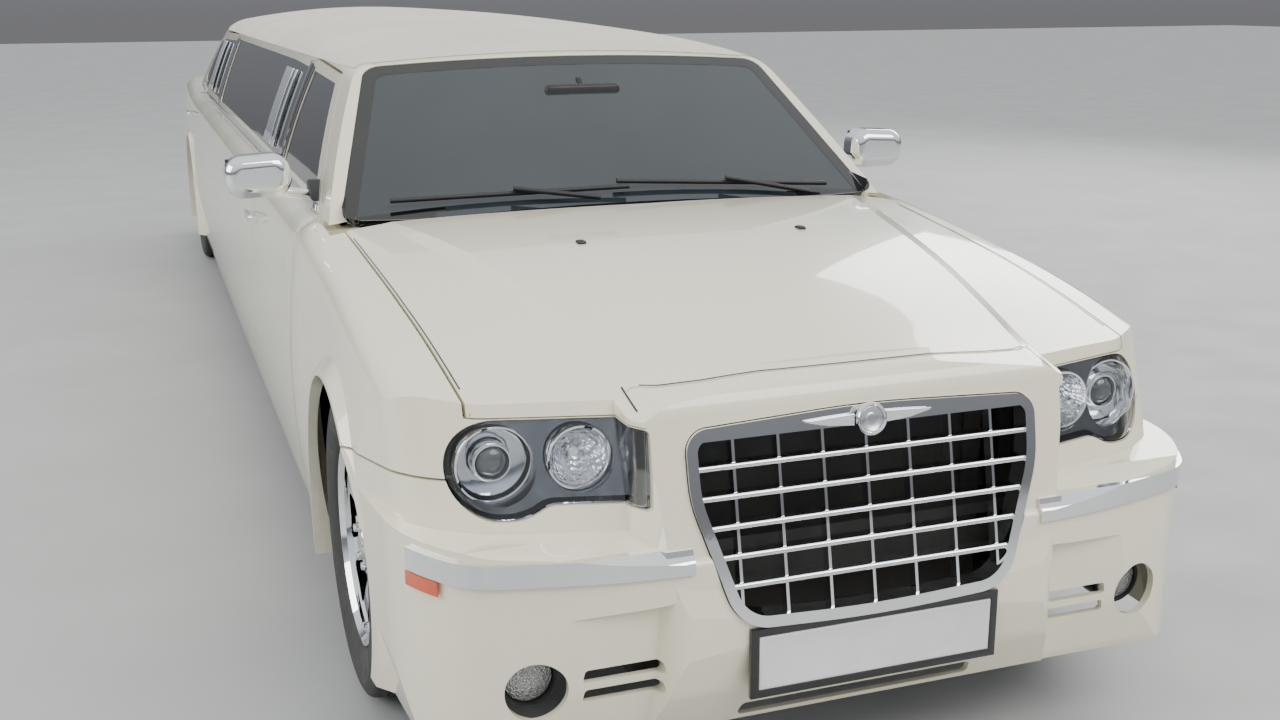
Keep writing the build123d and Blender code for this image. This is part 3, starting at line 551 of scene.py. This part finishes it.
def tyre_profile():
    """Half of the section as (across, radius), from the bead to the middle of the tread."""
    return [(0.083, 0.2294), (0.0905, 0.2400), (0.0925, 0.2465), (0.0970, 0.2500), (0.1030, 0.2600),
            (0.1085, 0.2780), (0.1120, 0.2960), (0.1125, 0.3080), (0.1112, 0.3220), (0.1120, 0.3240),
            (0.1110, 0.3270), (0.1085, 0.3380), (0.1045, 0.3480), (0.0990, 0.3560), (0.0900, 0.3605),
            (0.0700, 0.3622), (0.0690, 0.3552), (0.0620, 0.3552), (0.0610, 0.3627), (0.0300, 0.3633),
            (0.0290, 0.3560), (0.0200, 0.3560), (0.0190, 0.3635), (0, 0.3635)]


def model_tyre():
    """The carcass with four round grooves, and cross grooves in the middle rib and the next one."""
    half = tyre_profile()
    profile = [(-x, r) for x, r in half] + [(x, r) for x, r in reversed(half[:-1])]
    tyre = spun("tyre_master", profile, Vector((0, 0, 0)), (1, 0, 0), TREAD_STEPS)

    def in_cross_groove(face):
        across, y, z = face.center
        turn = round((atan2(z, y) + pi) / (2 * pi) * TREAD_STEPS - 0.5)
        turn += SIDE_SHIFT if across > 0 else 0
        raised = any(inner < abs(across) < outer and hypot(y, z) > floor
                     for inner, outer, floor in (MIDDLE_BAND, SIDE_BAND))
        return turn % BLOCK_STEPS == 0 and raised

    pick_faces(tyre, in_cross_groove)
    bpy.ops.mesh.extrude_region_shrink_fatten(
        TRANSFORM_OT_shrink_fatten={"value": -GROOVE_DEPTH})
    bpy.ops.mesh.select_mode(type="VERT")
    bpy.ops.object.mode_set(mode="OBJECT")
    return tyre


def add_tyres():
    master = model_tyre()
    for side, sign in SIDES:
        for end, station in (("front", FRONT_AXLE), ("rear", REAR_AXLE)):
            tyre = copy_of(master, f"{end}_tread_tyre_{side}", at(sign * TRACK_HALF, station, WHEEL_Z))
            done(tyre, f"{end}_wheel_{side}", "tyre")
            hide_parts(f"{end}_tyre_{side}")
    bpy.data.objects.remove(master)


# Wheel centres: a cap, five nuts and the valve
HUB_FACE = 0.0735
NUT_CIRCLE = 0.0575
NUT_COUNT = 5
NUT_TURN = 0.3
NUT_RADIUS = 0.0105
NUT_LENGTH = 0.020
NUT_STAND = 0.004
VALVE_PLACE = (0.078, 0, -0.208)


def model_wheel_centre():
    profile = ((-0.004, 0.0), (-0.004, 0.034), (0.003, 0.034), (0.0065, 0.031), (0.009, 0.025),
               (0.0105, 0.015), (0.011, 0.0))
    cap = spun("centre_cap", [(HUB_FACE + out, radius) for out, radius in profile],
               Vector((0, 0, 0)), (1, 0, 0), 40)
    parts = [cap]
    for number in range(NUT_COUNT):
        turn = 2 * pi * number / NUT_COUNT + NUT_TURN
        place = (HUB_FACE + NUT_STAND, NUT_CIRCLE * cos(turn), NUT_CIRCLE * sin(turn))
        nut = begin("nut", bpy.ops.mesh.primitive_cylinder_add, vertices=6, radius=NUT_RADIUS,
                    depth=NUT_LENGTH, location=place, rotation=(0, pi / 2, 0))
        bpy.ops.mesh.bevel(offset=0.0016, segments=2)
        parts.append(nut)
    valve = begin("valve", bpy.ops.mesh.primitive_cylinder_add, vertices=12, radius=0.004,
                  depth=0.030, location=VALVE_PLACE, rotation=(0, pi / 2, 0))
    bpy.ops.mesh.bevel(offset=0.001, segments=1)
    parts.append(valve)
    deselect()
    return join(parts)


def add_wheel_centres():
    master = model_wheel_centre()
    apply_place(master)
    other = mirrored(master, "centre_right")
    for side, shape, sign in (("left", master, 1), ("right", other, -1)):
        for end, station in (("front", FRONT_AXLE), ("rear", REAR_AXLE)):
            piece = copy_of(shape, f"{end}_wheel_centre_{side}",
                            at(sign * TRACK_HALF, station, WHEEL_Z))
            done(piece, f"{end}_wheel_{side}", "chrome")
    bpy.data.objects.remove(master)
    bpy.data.objects.remove(other)


# Headlamps and fog lamps: places as (x, z)
PROJECTOR = (0.708, 0.740)
REFLECTOR = (0.552, 0.753)
FOG_LAMP = (0.683, 0.342)


def lamp_piece(name, centre, station, profile, material, slot, steps=56):
    """A round piece about the line of sight of a lamp, on both sides of the car."""
    x, z = centre
    left = spun(name + "_left", profile, at(x, station, z), (0, 1, 0), steps)
    done(left, "body", slot, material)
    right = mirrored(left, name + "_right")
    done(right, "body", slot, material)


def add_headlamps():
    lamp_piece("projector_ring", PROJECTOR, 0.246,
               [(0.004, 0.0780), (0.0, 0.0772), (0.0, 0.0735), (0.006, 0.0715), (0.026, 0.0690),
                (0.030, 0.0740), (0.020, 0.0780)], finishes["chrome"], "chrome")
    lamp_piece("projector_bowl", PROJECTOR, 0.270,
               [(0.0, 0.0710), (0.004, 0.0690), (0.020, 0.0600), (0.032, 0.0470), (0.036, 0.0390),
                (0.047, 0.0370), (0.047, 0.0600), (0.010, 0.0735)], lamp_mirror, "lamp_bowl")
    lamp_piece("projector_collar", PROJECTOR, 0.262,
               [(0.0, 0.0385), (-0.003, 0.0370), (-0.003, 0.0345), (0.002, 0.0330), (0.030, 0.0330),
                (0.046, 0.0380), (0.020, 0.0400)], finishes["chrome"], "chrome")
    lamp_piece("projector_eye", PROJECTOR, 0.266,
               [(-0.012, 0.0), (-0.0112, 0.010), (-0.0085, 0.019), (-0.003, 0.027), (0.004, 0.0325),
                (0.012, 0.0330), (0.012, 0.0)], eye_glass, "clear_glass")
    lamp_piece("beam_ring", REFLECTOR, 0.194,
               [(0.004, 0.0650), (0.0, 0.0642), (0.0, 0.0600), (0.006, 0.0585), (0.020, 0.0570),
                (0.024, 0.0640)], finishes["chrome"], "chrome")
    lamp_piece("beam_bowl", REFLECTOR, 0.200,
               [(0.0, 0.0600), (0.004, 0.0585), (0.030, 0.0500), (0.048, 0.0380), (0.060, 0.0220),
                (0.066, 0.0090), (0.076, 0.0090), (0.076, 0.0620), (0.010, 0.0640)],
               faceted_mirror, "lamp_bowl", 28)
    lamp_piece("beam_shield", REFLECTOR, 0.232,
               [(0.0, 0.0), (0.0, 0.0085), (0.002, 0.0110), (0.024, 0.0115), (0.034, 0.0085),
                (0.040, 0.0)], finishes["chrome"], "chrome", 28)


def add_fog_lamps():
    lamp_piece("fog_bezel", FOG_LAMP, 0.128,
               [(0.0, 0.0575), (-0.003, 0.0550), (-0.002, 0.0510), (0.008, 0.0485), (0.012, 0.0560)],
               finishes["black_plastic"], "black_plastic")
    lamp_piece("fog_lens", FOG_LAMP, 0.130,
               [(-0.007, 0.0), (-0.0062, 0.020), (-0.004, 0.036), (0.001, 0.0475), (0.008, 0.0490),
                (0.008, 0.0)], fog_glass, "clear_glass", 40)


# Exhaust ends: polished sleeves with a rolled lip
EXHAUST_END = (0.520, 7.960, 0.262)


def add_exhaust_ends():
    x, station, z = EXHAUST_END
    for side, sign in SIDES:
        sleeve = spun(f"exhaust_end_{side}", [(0.0, 0.0362), (0.066, 0.0372), (0.075, 0.0370),
                                              (0.078, 0.0355), (0.076, 0.0338), (0.060, 0.0330),
                                              (0.0, 0.0330)],
                      at(sign * x, station, z), (0, 1, 0), 48)
        done(sleeve, "body", "chrome")


# Number plates: blank, in a black frame
PLATE_SIZE = (0.516, 0.110)
PLATE_FRAME_SIZE = (0.552, 0.146)
PLATE_PROUD = 0.002
PLATES = (("front", -0.0035, 0.362, -1, "body"), ("rear", 7.992, 0.845, 1, "boot_lid"))


def plate_board(name, centre, size, thick, rim, sink, facing):
    """A bevelled board whose front has a raised rim."""
    board = begin(name, bpy.ops.mesh.primitive_cube_add, size=1, location=centre)
    bpy.ops.transform.resize(value=(size[0], thick, size[1]))
    pick_faces(board, lambda face: face.normal.y * facing > 0.5)
    bpy.ops.mesh.inset(thickness=rim, depth=0)
    bpy.ops.mesh.inset(thickness=0.002, depth=-sink)
    bpy.ops.mesh.select_mode(type="VERT")
    modify(board, "BEVEL", width=0.0012, segments=2, limit_method="ANGLE")
    return board


def lean_back(piece, pivot, angle):
    """Turns a piece about a line across the car, its top to the rear."""
    choose(piece)
    open_all()
    bpy.ops.transform.rotate(value=angle, orient_axis="X", center_override=pivot)
    bpy.ops.object.mode_set(mode="OBJECT")


def add_plates():
    for end, station, z, facing, body in PLATES:
        place = at(0, station, z)
        holder = plate_board(f"{end}_plate_frame", place, PLATE_FRAME_SIZE,
                             thick=0.012, rim=0.016, sink=0.004, facing=facing)
        done(holder, body, "black_plastic", black_gloss)
        ahead = Vector((0, PLATE_PROUD * facing, 0))
        blank = plate_board(f"{end}_plate", place + ahead, PLATE_SIZE,
                            thick=0.010, rim=0.005, sink=0.0008, facing=facing)
        done(blank, body, "black_plastic", plate_white)


# Dark borders of the screens and the dark covers of the window pillars
BORDER_LIFT = 0.0008
BORDER_THICK = 0.0012
ROUNDED_FROM = 0.004


def screen_border(name, target, base, head, foot_half, head_half, rise, width, bend):
    """A ring on the glass, whose outer edge is the glass's own."""
    corners = [along_screen(base, head, x, up, 0.03, bend) for x, up in (
        (-foot_half, rise[0]), (foot_half, rise[0]), (head_half, rise[1]), (-head_half, rise[1]))]
    ring = trace(name, corners)
    bpy.ops.mesh.edge_face_add()
    bpy.ops.mesh.bevel(affect="VERTICES", offset=0.055, segments=5)
    bpy.ops.mesh.select_mode(type="FACE")
    bpy.ops.mesh.select_all(action="SELECT")
    bpy.ops.mesh.inset(thickness=width, depth=0)
    bpy.ops.mesh.delete(type="FACE")
    bpy.ops.mesh.select_mode(type="VERT")
    bpy.ops.mesh.select_all(action="SELECT")
    bpy.ops.mesh.subdivide(number_cuts=7)
    slope = Vector((0, head[0] - base[0], head[1] - base[1])).normalized()
    lie_flat(ring, slope)
    on_body(ring, target, "Z", BORDER_LIFT)
    modify(ring, "SOLIDIFY", thickness=BORDER_THICK, offset=1)
    done(ring, "body", "black_plastic", black_gloss)


def lie_flat(piece, slope):
    """Turns the object so that its own Z is the glass's normal, its mesh staying in place."""
    bpy.ops.object.mode_set(mode="OBJECT")
    tilt = Matrix((Vector((1, 0, 0)), slope, Vector((1, 0, 0)).cross(slope))).transposed().to_4x4()
    keep = piece.matrix_world.copy()
    piece.matrix_world = tilt
    piece.data.transform(tilt.inverted() @ keep)


def side_cover(name, corners, target, body, material, slot, lift=0.0012, thick=0.0015, cuts=10):
    """A four-sided cover laid on each flank; corners are (station, z). A thick one is rounded."""
    for side, sign in SIDES:
        goal = target if target in nodes else f"{target}_{side}"
        carrier = body if body == "body" else f"{body}_{side}"
        points = [at(sign * 1.0, s, z) for s, z in corners]
        cover = trace(f"{name}_{side}", points)
        bpy.ops.mesh.edge_face_add()
        bpy.ops.mesh.subdivide(number_cuts=cuts)
        on_body(cover, goal, "X", lift)
        open_all()
        bpy.ops.mesh.normals_make_consistent(inside=False)
        bpy.ops.object.mode_set(mode="OBJECT")
        if cover.data.polygons[0].normal.x * sign < 0:
            cover.data.flip_normals()
        modify(cover, "SOLIDIFY", thickness=thick, offset=1)
        if thick > ROUNDED_FROM:
            modify(cover, "BEVEL", width=thick / 3, segments=2, limit_method="ANGLE")
        done(cover, carrier, slot, material)


PILLAR_COVERS = (
    ("front_door_pillar_cover", "front_door", "front_door",
     ((2.748, 1.046), (2.788, 1.046), (2.788, 1.376), (2.742, 1.372))),
    ("pillar_cover_front", "body_shell", "body",
     ((2.802, 1.038), (2.867, 1.038), (2.864, 1.374), (2.802, 1.382))),
    ("pillar_cover_rear", "body_shell", "body",
     ((5.798, 1.038), (5.848, 1.038), (5.848, 1.384), (5.798, 1.380))),
    ("rear_door_pillar_cover", "rear_door", "rear_door",
     ((5.874, 1.046), (5.913, 1.046), (5.913, 1.376), (5.880, 1.384))),
    ("rear_door_edge_cover", "rear_door", "rear_door",
     ((6.832, 1.064), (6.872, 1.064), (6.784, 1.330), (6.742, 1.330))),
    ("quarter_pillar_cover", "body_shell", "body",
     ((6.902, 1.062), (6.945, 1.076), (6.885, 1.320), (6.822, 1.340))),
)


def add_window_covers():
    """Dark covers on the pillars, so that the side glass reads as one band."""
    for name, target, body, corners in PILLAR_COVERS:
        side_cover(name, corners, target, body, black_gloss, "dark_glass")


# Bright strips over the side glass: a narrow one and a fluted group, at two places
STRIPS = (("stretch_strip", "side_glass", "body", 3.10, 0.055, 1),
          ("stretch_flutes", "side_glass", "body", 3.21, 0.215, 5),
          ("rear_strip", "rear_door_glass", "rear_door", 6.20, 0.055, 1),
          ("rear_flutes", "rear_door_glass", "rear_door", 6.46, 0.215, 5))
STRIP_FOOT = 1.068
STRIP_HEAD = 1.342
STRIP_INSET = 0.002
STRIP_SPACE = 0.005


def add_bright_strips():
    for name, target, body, start, width, count in STRIPS:
        pitch = width / count
        for number in range(count):
            low = start + number * pitch + STRIP_INSET
            high = low + pitch - STRIP_SPACE
            side_cover(f"{name}_{number + 1}", ((low, STRIP_FOOT), (high, STRIP_FOOT),
                                                (high, STRIP_HEAD), (low, STRIP_HEAD)),
                       target, body, finishes["chrome"], "chrome", lift=0.002, thick=0.011, cuts=6)


# Belt mouldings: the bright strip under the side glass on the doors and the quarters
BELTS = (
    ("front_door_belt", "front_door", "front_door",
     ((1.790, 1.020), (2.785, 1.020), (2.785, 1.036), (1.800, 1.036))),
    ("rear_door_belt", "rear_door", "rear_door",
     ((5.872, 1.020), (6.880, 1.022), (6.876, 1.038), (5.872, 1.036))),
    ("quarter_belt", "body_shell", "body",
     ((6.912, 1.026), (7.230, 1.052), (7.218, 1.066), (6.908, 1.042))),
)


def add_belt_mouldings():
    for name, target, body, corners in BELTS:
        side_cover(name, corners, target, body, finishes["chrome"], "chrome",
                   lift=0.0008, thick=0.0045, cuts=14)


# Grille: a plain boss between two plain wings, in the middle of the thick top bar
BADGE_Z = 0.811
BADGE_STATION = 0.060
BADGE_LEAN = 0.198


def add_grille_badge():
    centre = at(0, BADGE_STATION, BADGE_Z)
    axis = Vector((0, -cos(BADGE_LEAN), sin(BADGE_LEAN)))
    ring = spun("badge_ring", [(0, 0.0255), (0, 0.0335), (0.006, 0.0335), (0.0105, 0.0310),
                               (0.0115, 0.0285), (0.0095, 0.0262), (0.004, 0.0255)],
                centre, axis, 48)
    done(ring, "body", "chrome")
    boss = spun("badge_boss", [(0.001, 0.0), (0.001, 0.0256), (0.0065, 0.0256), (0.0075, 0.0235),
                               (0.0068, 0.0215), (0.0068, 0.0130), (0.0082, 0.0115),
                               (0.0095, 0.0085), (0.0100, 0.0)], centre, axis, 48)
    done(boss, "body", "chrome", satin_chrome)
    for side, sign in SIDES:
        wing = trace(f"badge_wing_{side}", [centre + Vector((sign * x, 0, z)) for x, z in (
            (0.0340, -0.0110), (0.0900, -0.0060), (0.1300, 0.0030), (0.1380, 0.0085),
            (0.0900, 0.0115), (0.0340, 0.0135))])
        bpy.ops.mesh.edge_face_add()
        bpy.ops.mesh.extrude_region_move(
            TRANSFORM_OT_translate={"value": axis * 0.0075})
        close_up()
        modify(wing, "BEVEL", width=0.0024, segments=3, limit_method="ANGLE")
        done(wing, "body", "chrome")


# Dark joints round the bonnet: the shadow of its gap as a thin line on its own edge
SEAM_WIDTH = 0.0032
SEAM_LIFT = 0.0005
SEAM_THICK = 0.0006
ABOVE_BONNET = 1.2


def add_bonnet_seams():
    edges = (("bonnet_seam_front", ((0.0, 0.1545), (0.150, 0.1555), (0.318, 0.1590), (0.400, 0.1710),
                                    (0.432, 0.1860)), (0, SEAM_WIDTH)),
             ("bonnet_seam_lamp", ((0.4585, 0.210), (0.4585, 0.120)), (SEAM_WIDTH, 0)),
             ("bonnet_seam_side", ((0.7500, 0.260), (0.7730, 0.752), (0.7930, 1.330)),
              (-SEAM_WIDTH, 0)))
    for name, plan, step in edges:
        for side, sign in SIDES:
            line = trace(f"{name}_{side}", [at(sign * x, s, ABOVE_BONNET) for x, s in plan])
            bpy.ops.mesh.extrude_region_move(
                TRANSFORM_OT_translate={"value": (sign * step[0], step[1], 0)})
            bpy.ops.mesh.select_all(action="SELECT")
            bpy.ops.mesh.subdivide(number_cuts=6)
            close_up()
            on_body(line, "bonnet", "Z", SEAM_LIFT)
            if line.data.polygons[0].normal.z < 0:
                line.data.flip_normals()
            modify(line, "SOLIDIFY", thickness=SEAM_THICK, offset=1)
            done(line, "bonnet", "black_plastic", black_gloss)


# Bonnet washers
WASHER_PLACE = (0.296, 0.974, 1.027)


def add_washers():
    x, station, z = WASHER_PLACE
    for side, sign in SIDES:
        base = begin(f"washer_{side}", bpy.ops.mesh.primitive_cube_add, size=1,
                     location=at(sign * x, station, z))
        bpy.ops.transform.resize(value=(0.022, 0.030, 0.014))
        modify(base, "BEVEL", width=0.005, segments=3)
        done(base, "bonnet", "black_plastic")


# Inner mirror, hung from the windscreen's head
INNER_MIRROR = (0, 1.872, 1.318)
INNER_MIRROR_SIZE = (0.235, 0.026, 0.062)


def add_inner_mirror():
    shell = begin("inner_mirror", bpy.ops.mesh.primitive_cube_add, size=1,
                  location=at(*INNER_MIRROR))
    bpy.ops.transform.resize(value=INNER_MIRROR_SIZE)
    modify(shell, "BEVEL", width=0.012, segments=4)
    done(shell, "body", "black_plastic")
    stem = slab("inner_mirror_stem", [at(-0.008, 1.872, 1.330), at(-0.008, 1.888, 1.330),
                                      at(-0.008, 1.925, 1.366), at(-0.008, 1.905, 1.366)],
                (0.016, 0, 0))
    modify(stem, "BEVEL", width=0.003, segments=2)
    done(stem, "body", "black_plastic")


# Door mirrors: the glass in its rim, and the dark foot on the door
MIRROR_RIM = ((0.892, 1.068), (1.052, 1.072), (1.060, 1.168), (0.900, 1.178))
MIRROR_GLASS = ((0.902, 1.078), (1.044, 1.082), (1.050, 1.158), (0.908, 1.167))
MIRROR_FOOT = ((1.792, 1.046), (1.905, 1.046), (1.900, 1.098), (1.868, 1.096))
RIM_STATION = 1.8555
GLASS_STATION = 1.8605
FOOT_X = 0.834


def add_door_mirrors():
    for side, sign in SIDES:
        rim = slab(f"mirror_rim_{side}", [at(sign * x, RIM_STATION, z) for x, z in MIRROR_RIM],
                   (0, 0.006, 0))
        modify(rim, "BEVEL", width=0.016, segments=4, limit_method="ANGLE", angle_limit=radians(60),
               affect="EDGES")
        done(rim, f"front_door_{side}", "black_plastic")
        glass = slab(f"mirror_glass_{side}", [at(sign * x, GLASS_STATION, z) for x, z in MIRROR_GLASS],
                     (0, 0.003, 0))
        modify(glass, "BEVEL", width=0.0012, segments=2)
        done(glass, f"front_door_{side}", "chrome", lamp_mirror)
        foot = slab(f"mirror_foot_{side}", [at(sign * FOOT_X, s, z) for s, z in MIRROR_FOOT],
                    (-sign * 0.060, 0, 0))
        modify(foot, "BEVEL", width=0.006, segments=3)
        done(foot, f"front_door_{side}", "black_plastic")


# Padded seats with sewn channels, on dark plinths
ACROSS, ALONG = 0, 1
FRONT_CHANNELS = 4
BENCH_CHANNELS = 15
REAR_CHANNELS = 8
ROLL_OVERLAP = 1.05
BACK_LEAN = radians(13)
SEAT_PIVOT = (2.560, 0.480)
REAR_SEAT_PIVOT = (6.715, 0.560)
SEAT_HEM = 0.068
PLINTH_INSET = 0.03
HEADREST_INSET = 0.13
POST_INSET = 0.19


def pads(name, low, high, channels=1, axis=ACROSS, cuts=3, lean=None):
    """Rolls side by side between two corners, joined as one cushion; lean is a back's pivot."""
    rolls = []
    span = (high[axis] - low[axis]) / channels
    for number in range(channels):
        size = [b - a for a, b in zip(low, high)]
        centre = [(a + b) / 2 for a, b in zip(low, high)]
        size[axis] = span * ROLL_OVERLAP
        centre[axis] = low[axis] + span * (number + 0.5)
        roll = begin(name, bpy.ops.mesh.primitive_cube_add, size=1, location=at(*centre))
        bpy.ops.transform.resize(value=size)
        bpy.ops.mesh.subdivide(number_cuts=cuts)
        modify(roll, "SUBSURF", levels=2)
        rolls.append(roll)
    whole = join(rolls) if channels > 1 else rolls[0]
    if lean:
        lean_back(whole, at(0, *lean), BACK_LEAN)
    done(whole, "body", "leather", angle=60)
    return whole


def plinth(name, low, high):
    """The carpeted base under a cushion."""
    base = begin(name, bpy.ops.mesh.primitive_cube_add, size=1,
                 location=at(*[(a + b) / 2 for a, b in zip(low, high)]))
    bpy.ops.transform.resize(value=[b - a for a, b in zip(low, high)])
    modify(base, "BEVEL", width=0.012, segments=3)
    return done(base, "body", "black_plastic", carpet)


def add_front_seat(side, low_x, high_x):
    """One front seat between two places across the car."""
    plinth(f"front_seat_plinth_{side}", (low_x + PLINTH_INSET, 2.060, 0.253),
           (high_x - PLINTH_INSET, 2.550, 0.360))
    start, stop = low_x + SEAT_HEM, high_x - SEAT_HEM
    parts = [pads(f"front_cushion_{side}", (start, 2.045, 0.350), (stop, 2.560, 0.510),
                  FRONT_CHANNELS),
             pads(f"front_back_{side}", (start, 2.505, 0.475), (stop, 2.615, 1.090),
                  FRONT_CHANNELS, lean=SEAT_PIVOT)]
    for place, low, high in (("inner", low_x, start), ("outer", stop, high_x)):
        parts.append(pads(f"front_bolster_{place}_{side}", (low, 2.040, 0.350), (high, 2.545, 0.532)))
        parts.append(pads(f"front_wing_{place}_{side}", (low, 2.500, 0.480), (high, 2.630, 1.050),
                          lean=SEAT_PIVOT))
    parts.append(pads(f"front_headrest_{side}", (low_x + HEADREST_INSET, 2.690, 1.095),
                      (high_x - HEADREST_INSET, 2.778, 1.288)))
    for number, x in enumerate((low_x + POST_INSET, high_x - POST_INSET), 1):
        post = begin(f"headrest_post_{number}_{side}", bpy.ops.mesh.primitive_cylinder_add,
                     vertices=16, radius=0.006, depth=0.10, location=at(x, 2.715, 1.085))
        bpy.ops.mesh.bevel(offset=0.001, segments=1)
        done(post, "body", "chrome")
    return parts


def add_seats():
    front = add_front_seat("left", 0.140, 0.640) + add_front_seat("right", -0.640, -0.140)
    for part in front:
        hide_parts("front_seats")
    plinth("bench_plinth", (-0.812, 3.405, 0.253), (-0.350, 5.695, 0.330))
    lounge = [pads("bench_cushion", (-0.660, 3.405, 0.320), (-0.322, 5.695, 0.478),
                   BENCH_CHANNELS, ALONG, cuts=2),
              pads("bench_back", (-0.798, 3.405, 0.440), (-0.690, 5.695, 0.848),
                   BENCH_CHANNELS, ALONG, cuts=2),
              pads("rear_cushion", (-0.538, 6.205, 0.372), (0.538, 6.660, 0.582), REAR_CHANNELS),
              pads("rear_back", (-0.538, 6.650, 0.540), (0.538, 6.780, 1.072), REAR_CHANNELS,
                   lean=REAR_SEAT_PIVOT)]
    plinth("rear_seat_skirt", (-0.530, 6.210, 0.253), (0.530, 6.292, 0.400))
    for part in lounge:
        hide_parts("lounge_seats")


# Camera, floor and light
CAMERA_PLACE = (-1.320, -2.267, 1.623)
CAMERA_AZIMUTH = 19.94
CAMERA_ELEVATION = 14.71
CAMERA_ROLL = -0.25
FOCAL_PIXELS = 1410
PICTURE_WIDTH = 1280
SENSOR_WIDTH = 36
FLOOR_SIZE = 90
SKY_STRENGTH = 1.1


def add_camera():
    azimuth, elevation = radians(CAMERA_AZIMUTH), radians(CAMERA_ELEVATION)
    ahead = Vector((sin(azimuth) * cos(elevation), cos(azimuth) * cos(elevation), -sin(elevation)))
    camera = bpy.data.cameras.new("camera")
    camera.sensor_width = SENSOR_WIDTH
    camera.lens = FOCAL_PIXELS / PICTURE_WIDTH * SENSOR_WIDTH
    camera.clip_start = 0.05
    camera.clip_end = 200
    holder = bpy.data.objects.new("camera", camera)
    turn = ahead.to_track_quat("-Z", "Y").to_matrix().to_4x4()
    holder.matrix_world = Matrix.Translation(at(*CAMERA_PLACE)) @ turn @ Matrix.Rotation(
        radians(CAMERA_ROLL), 4, "Z")
    bpy.context.scene.collection.objects.link(holder)
    bpy.context.scene.camera = holder


def add_floor():
    bpy.ops.mesh.primitive_plane_add(size=FLOOR_SIZE, location=(0, 0, 0))
    floor = bpy.context.active_object
    floor.name = "floor"
    material = surface("pale_floor", (0.46, 0.46, 0.45), (0.43, 0.43, 0.42), 0.55, 0.7, 1.5)
    floor.data.materials.append(material)


def add_light(name, place, target, size, power, colour=(1, 1, 1)):
    lamp = bpy.data.lights.new(name, "AREA")
    lamp.shape = "RECTANGLE"
    lamp.size, lamp.size_y = size
    lamp.energy = power
    lamp.color = colour
    holder = bpy.data.objects.new(name, lamp)
    aim = (Vector(target) - Vector(place)).to_track_quat("-Z", "Y")
    holder.matrix_world = Matrix.Translation(place) @ aim.to_matrix().to_4x4()
    bpy.context.scene.collection.objects.link(holder)


def add_sky():
    """A soft overcast dome: bright above, darker towards the horizon."""
    world = bpy.data.worlds.new("studio")
    bpy.context.scene.world = world
    world.use_nodes = True
    tree = world.node_tree
    place = tree.nodes.new("ShaderNodeTexCoord")
    split = tree.nodes.new("ShaderNodeSeparateXYZ")
    ramp = tree.nodes.new("ShaderNodeValToRGB")
    stops = ((0.0, (0.30, 0.30, 0.30)), (0.49, (0.16, 0.16, 0.17)), (0.54, (0.22, 0.23, 0.25)),
             (0.62, (0.74, 0.79, 0.86)), (1.0, (1.05, 1.05, 1.05)))
    half = tree.nodes.new("ShaderNodeMapRange")
    half.inputs["From Min"].default_value = -1
    while len(ramp.color_ramp.elements) < len(stops):
        ramp.color_ramp.elements.new(0.5)
    for element, (position, colour) in zip(ramp.color_ramp.elements, stops):
        element.position = position
        element.color = (*colour, 1)
    tree.links.new(place.outputs["Generated"], split.inputs["Vector"])
    tree.links.new(split.outputs["Z"], half.inputs["Value"])
    tree.links.new(half.outputs["Result"], ramp.inputs["Fac"])
    tree.links.new(ramp.outputs["Color"], tree.nodes["Background"].inputs["Color"])
    tree.nodes["Background"].inputs["Strength"].default_value = SKY_STRENGTH


def add_studio():
    add_floor()
    add_sky()
    add_light("ahead", (4.0, -10.5, 9.0), (0, -2.0, 0.5), (9, 6), 900, (1, 0.99, 0.97))
    add_light("side_right", (-9.0, -1.0, 4.5), (0, -1, 0.6), (9, 4), 620, (0.97, 0.98, 1.0))
    add_light("behind_left", (8.0, 4.0, 5.0), (0, 1, 0.6), (6, 4), 420)


dress_frame()
add_tyres()
add_wheel_centres()
add_headlamps()
add_fog_lamps()
add_exhaust_ends()
add_plates()
screen_border("screen_border", "windscreen", SCREEN_BASE, SCREEN_HEAD, foot_half=0.803,
              head_half=0.633, rise=(-0.009, 0.644), width=0.040, bend=7.0)
screen_border("backlight_border", "rear_window", BACKLIGHT_BASE, BACKLIGHT_HEAD, foot_half=0.689,
              head_half=0.589, rise=(0.061, 0.559), width=0.035, bend=4.0)
add_window_covers()
add_bright_strips()
add_belt_mouldings()
add_grille_badge()
add_bonnet_seams()
add_washers()
add_inner_mirror()
add_door_mirrors()
add_seats()
add_camera()
add_studio()
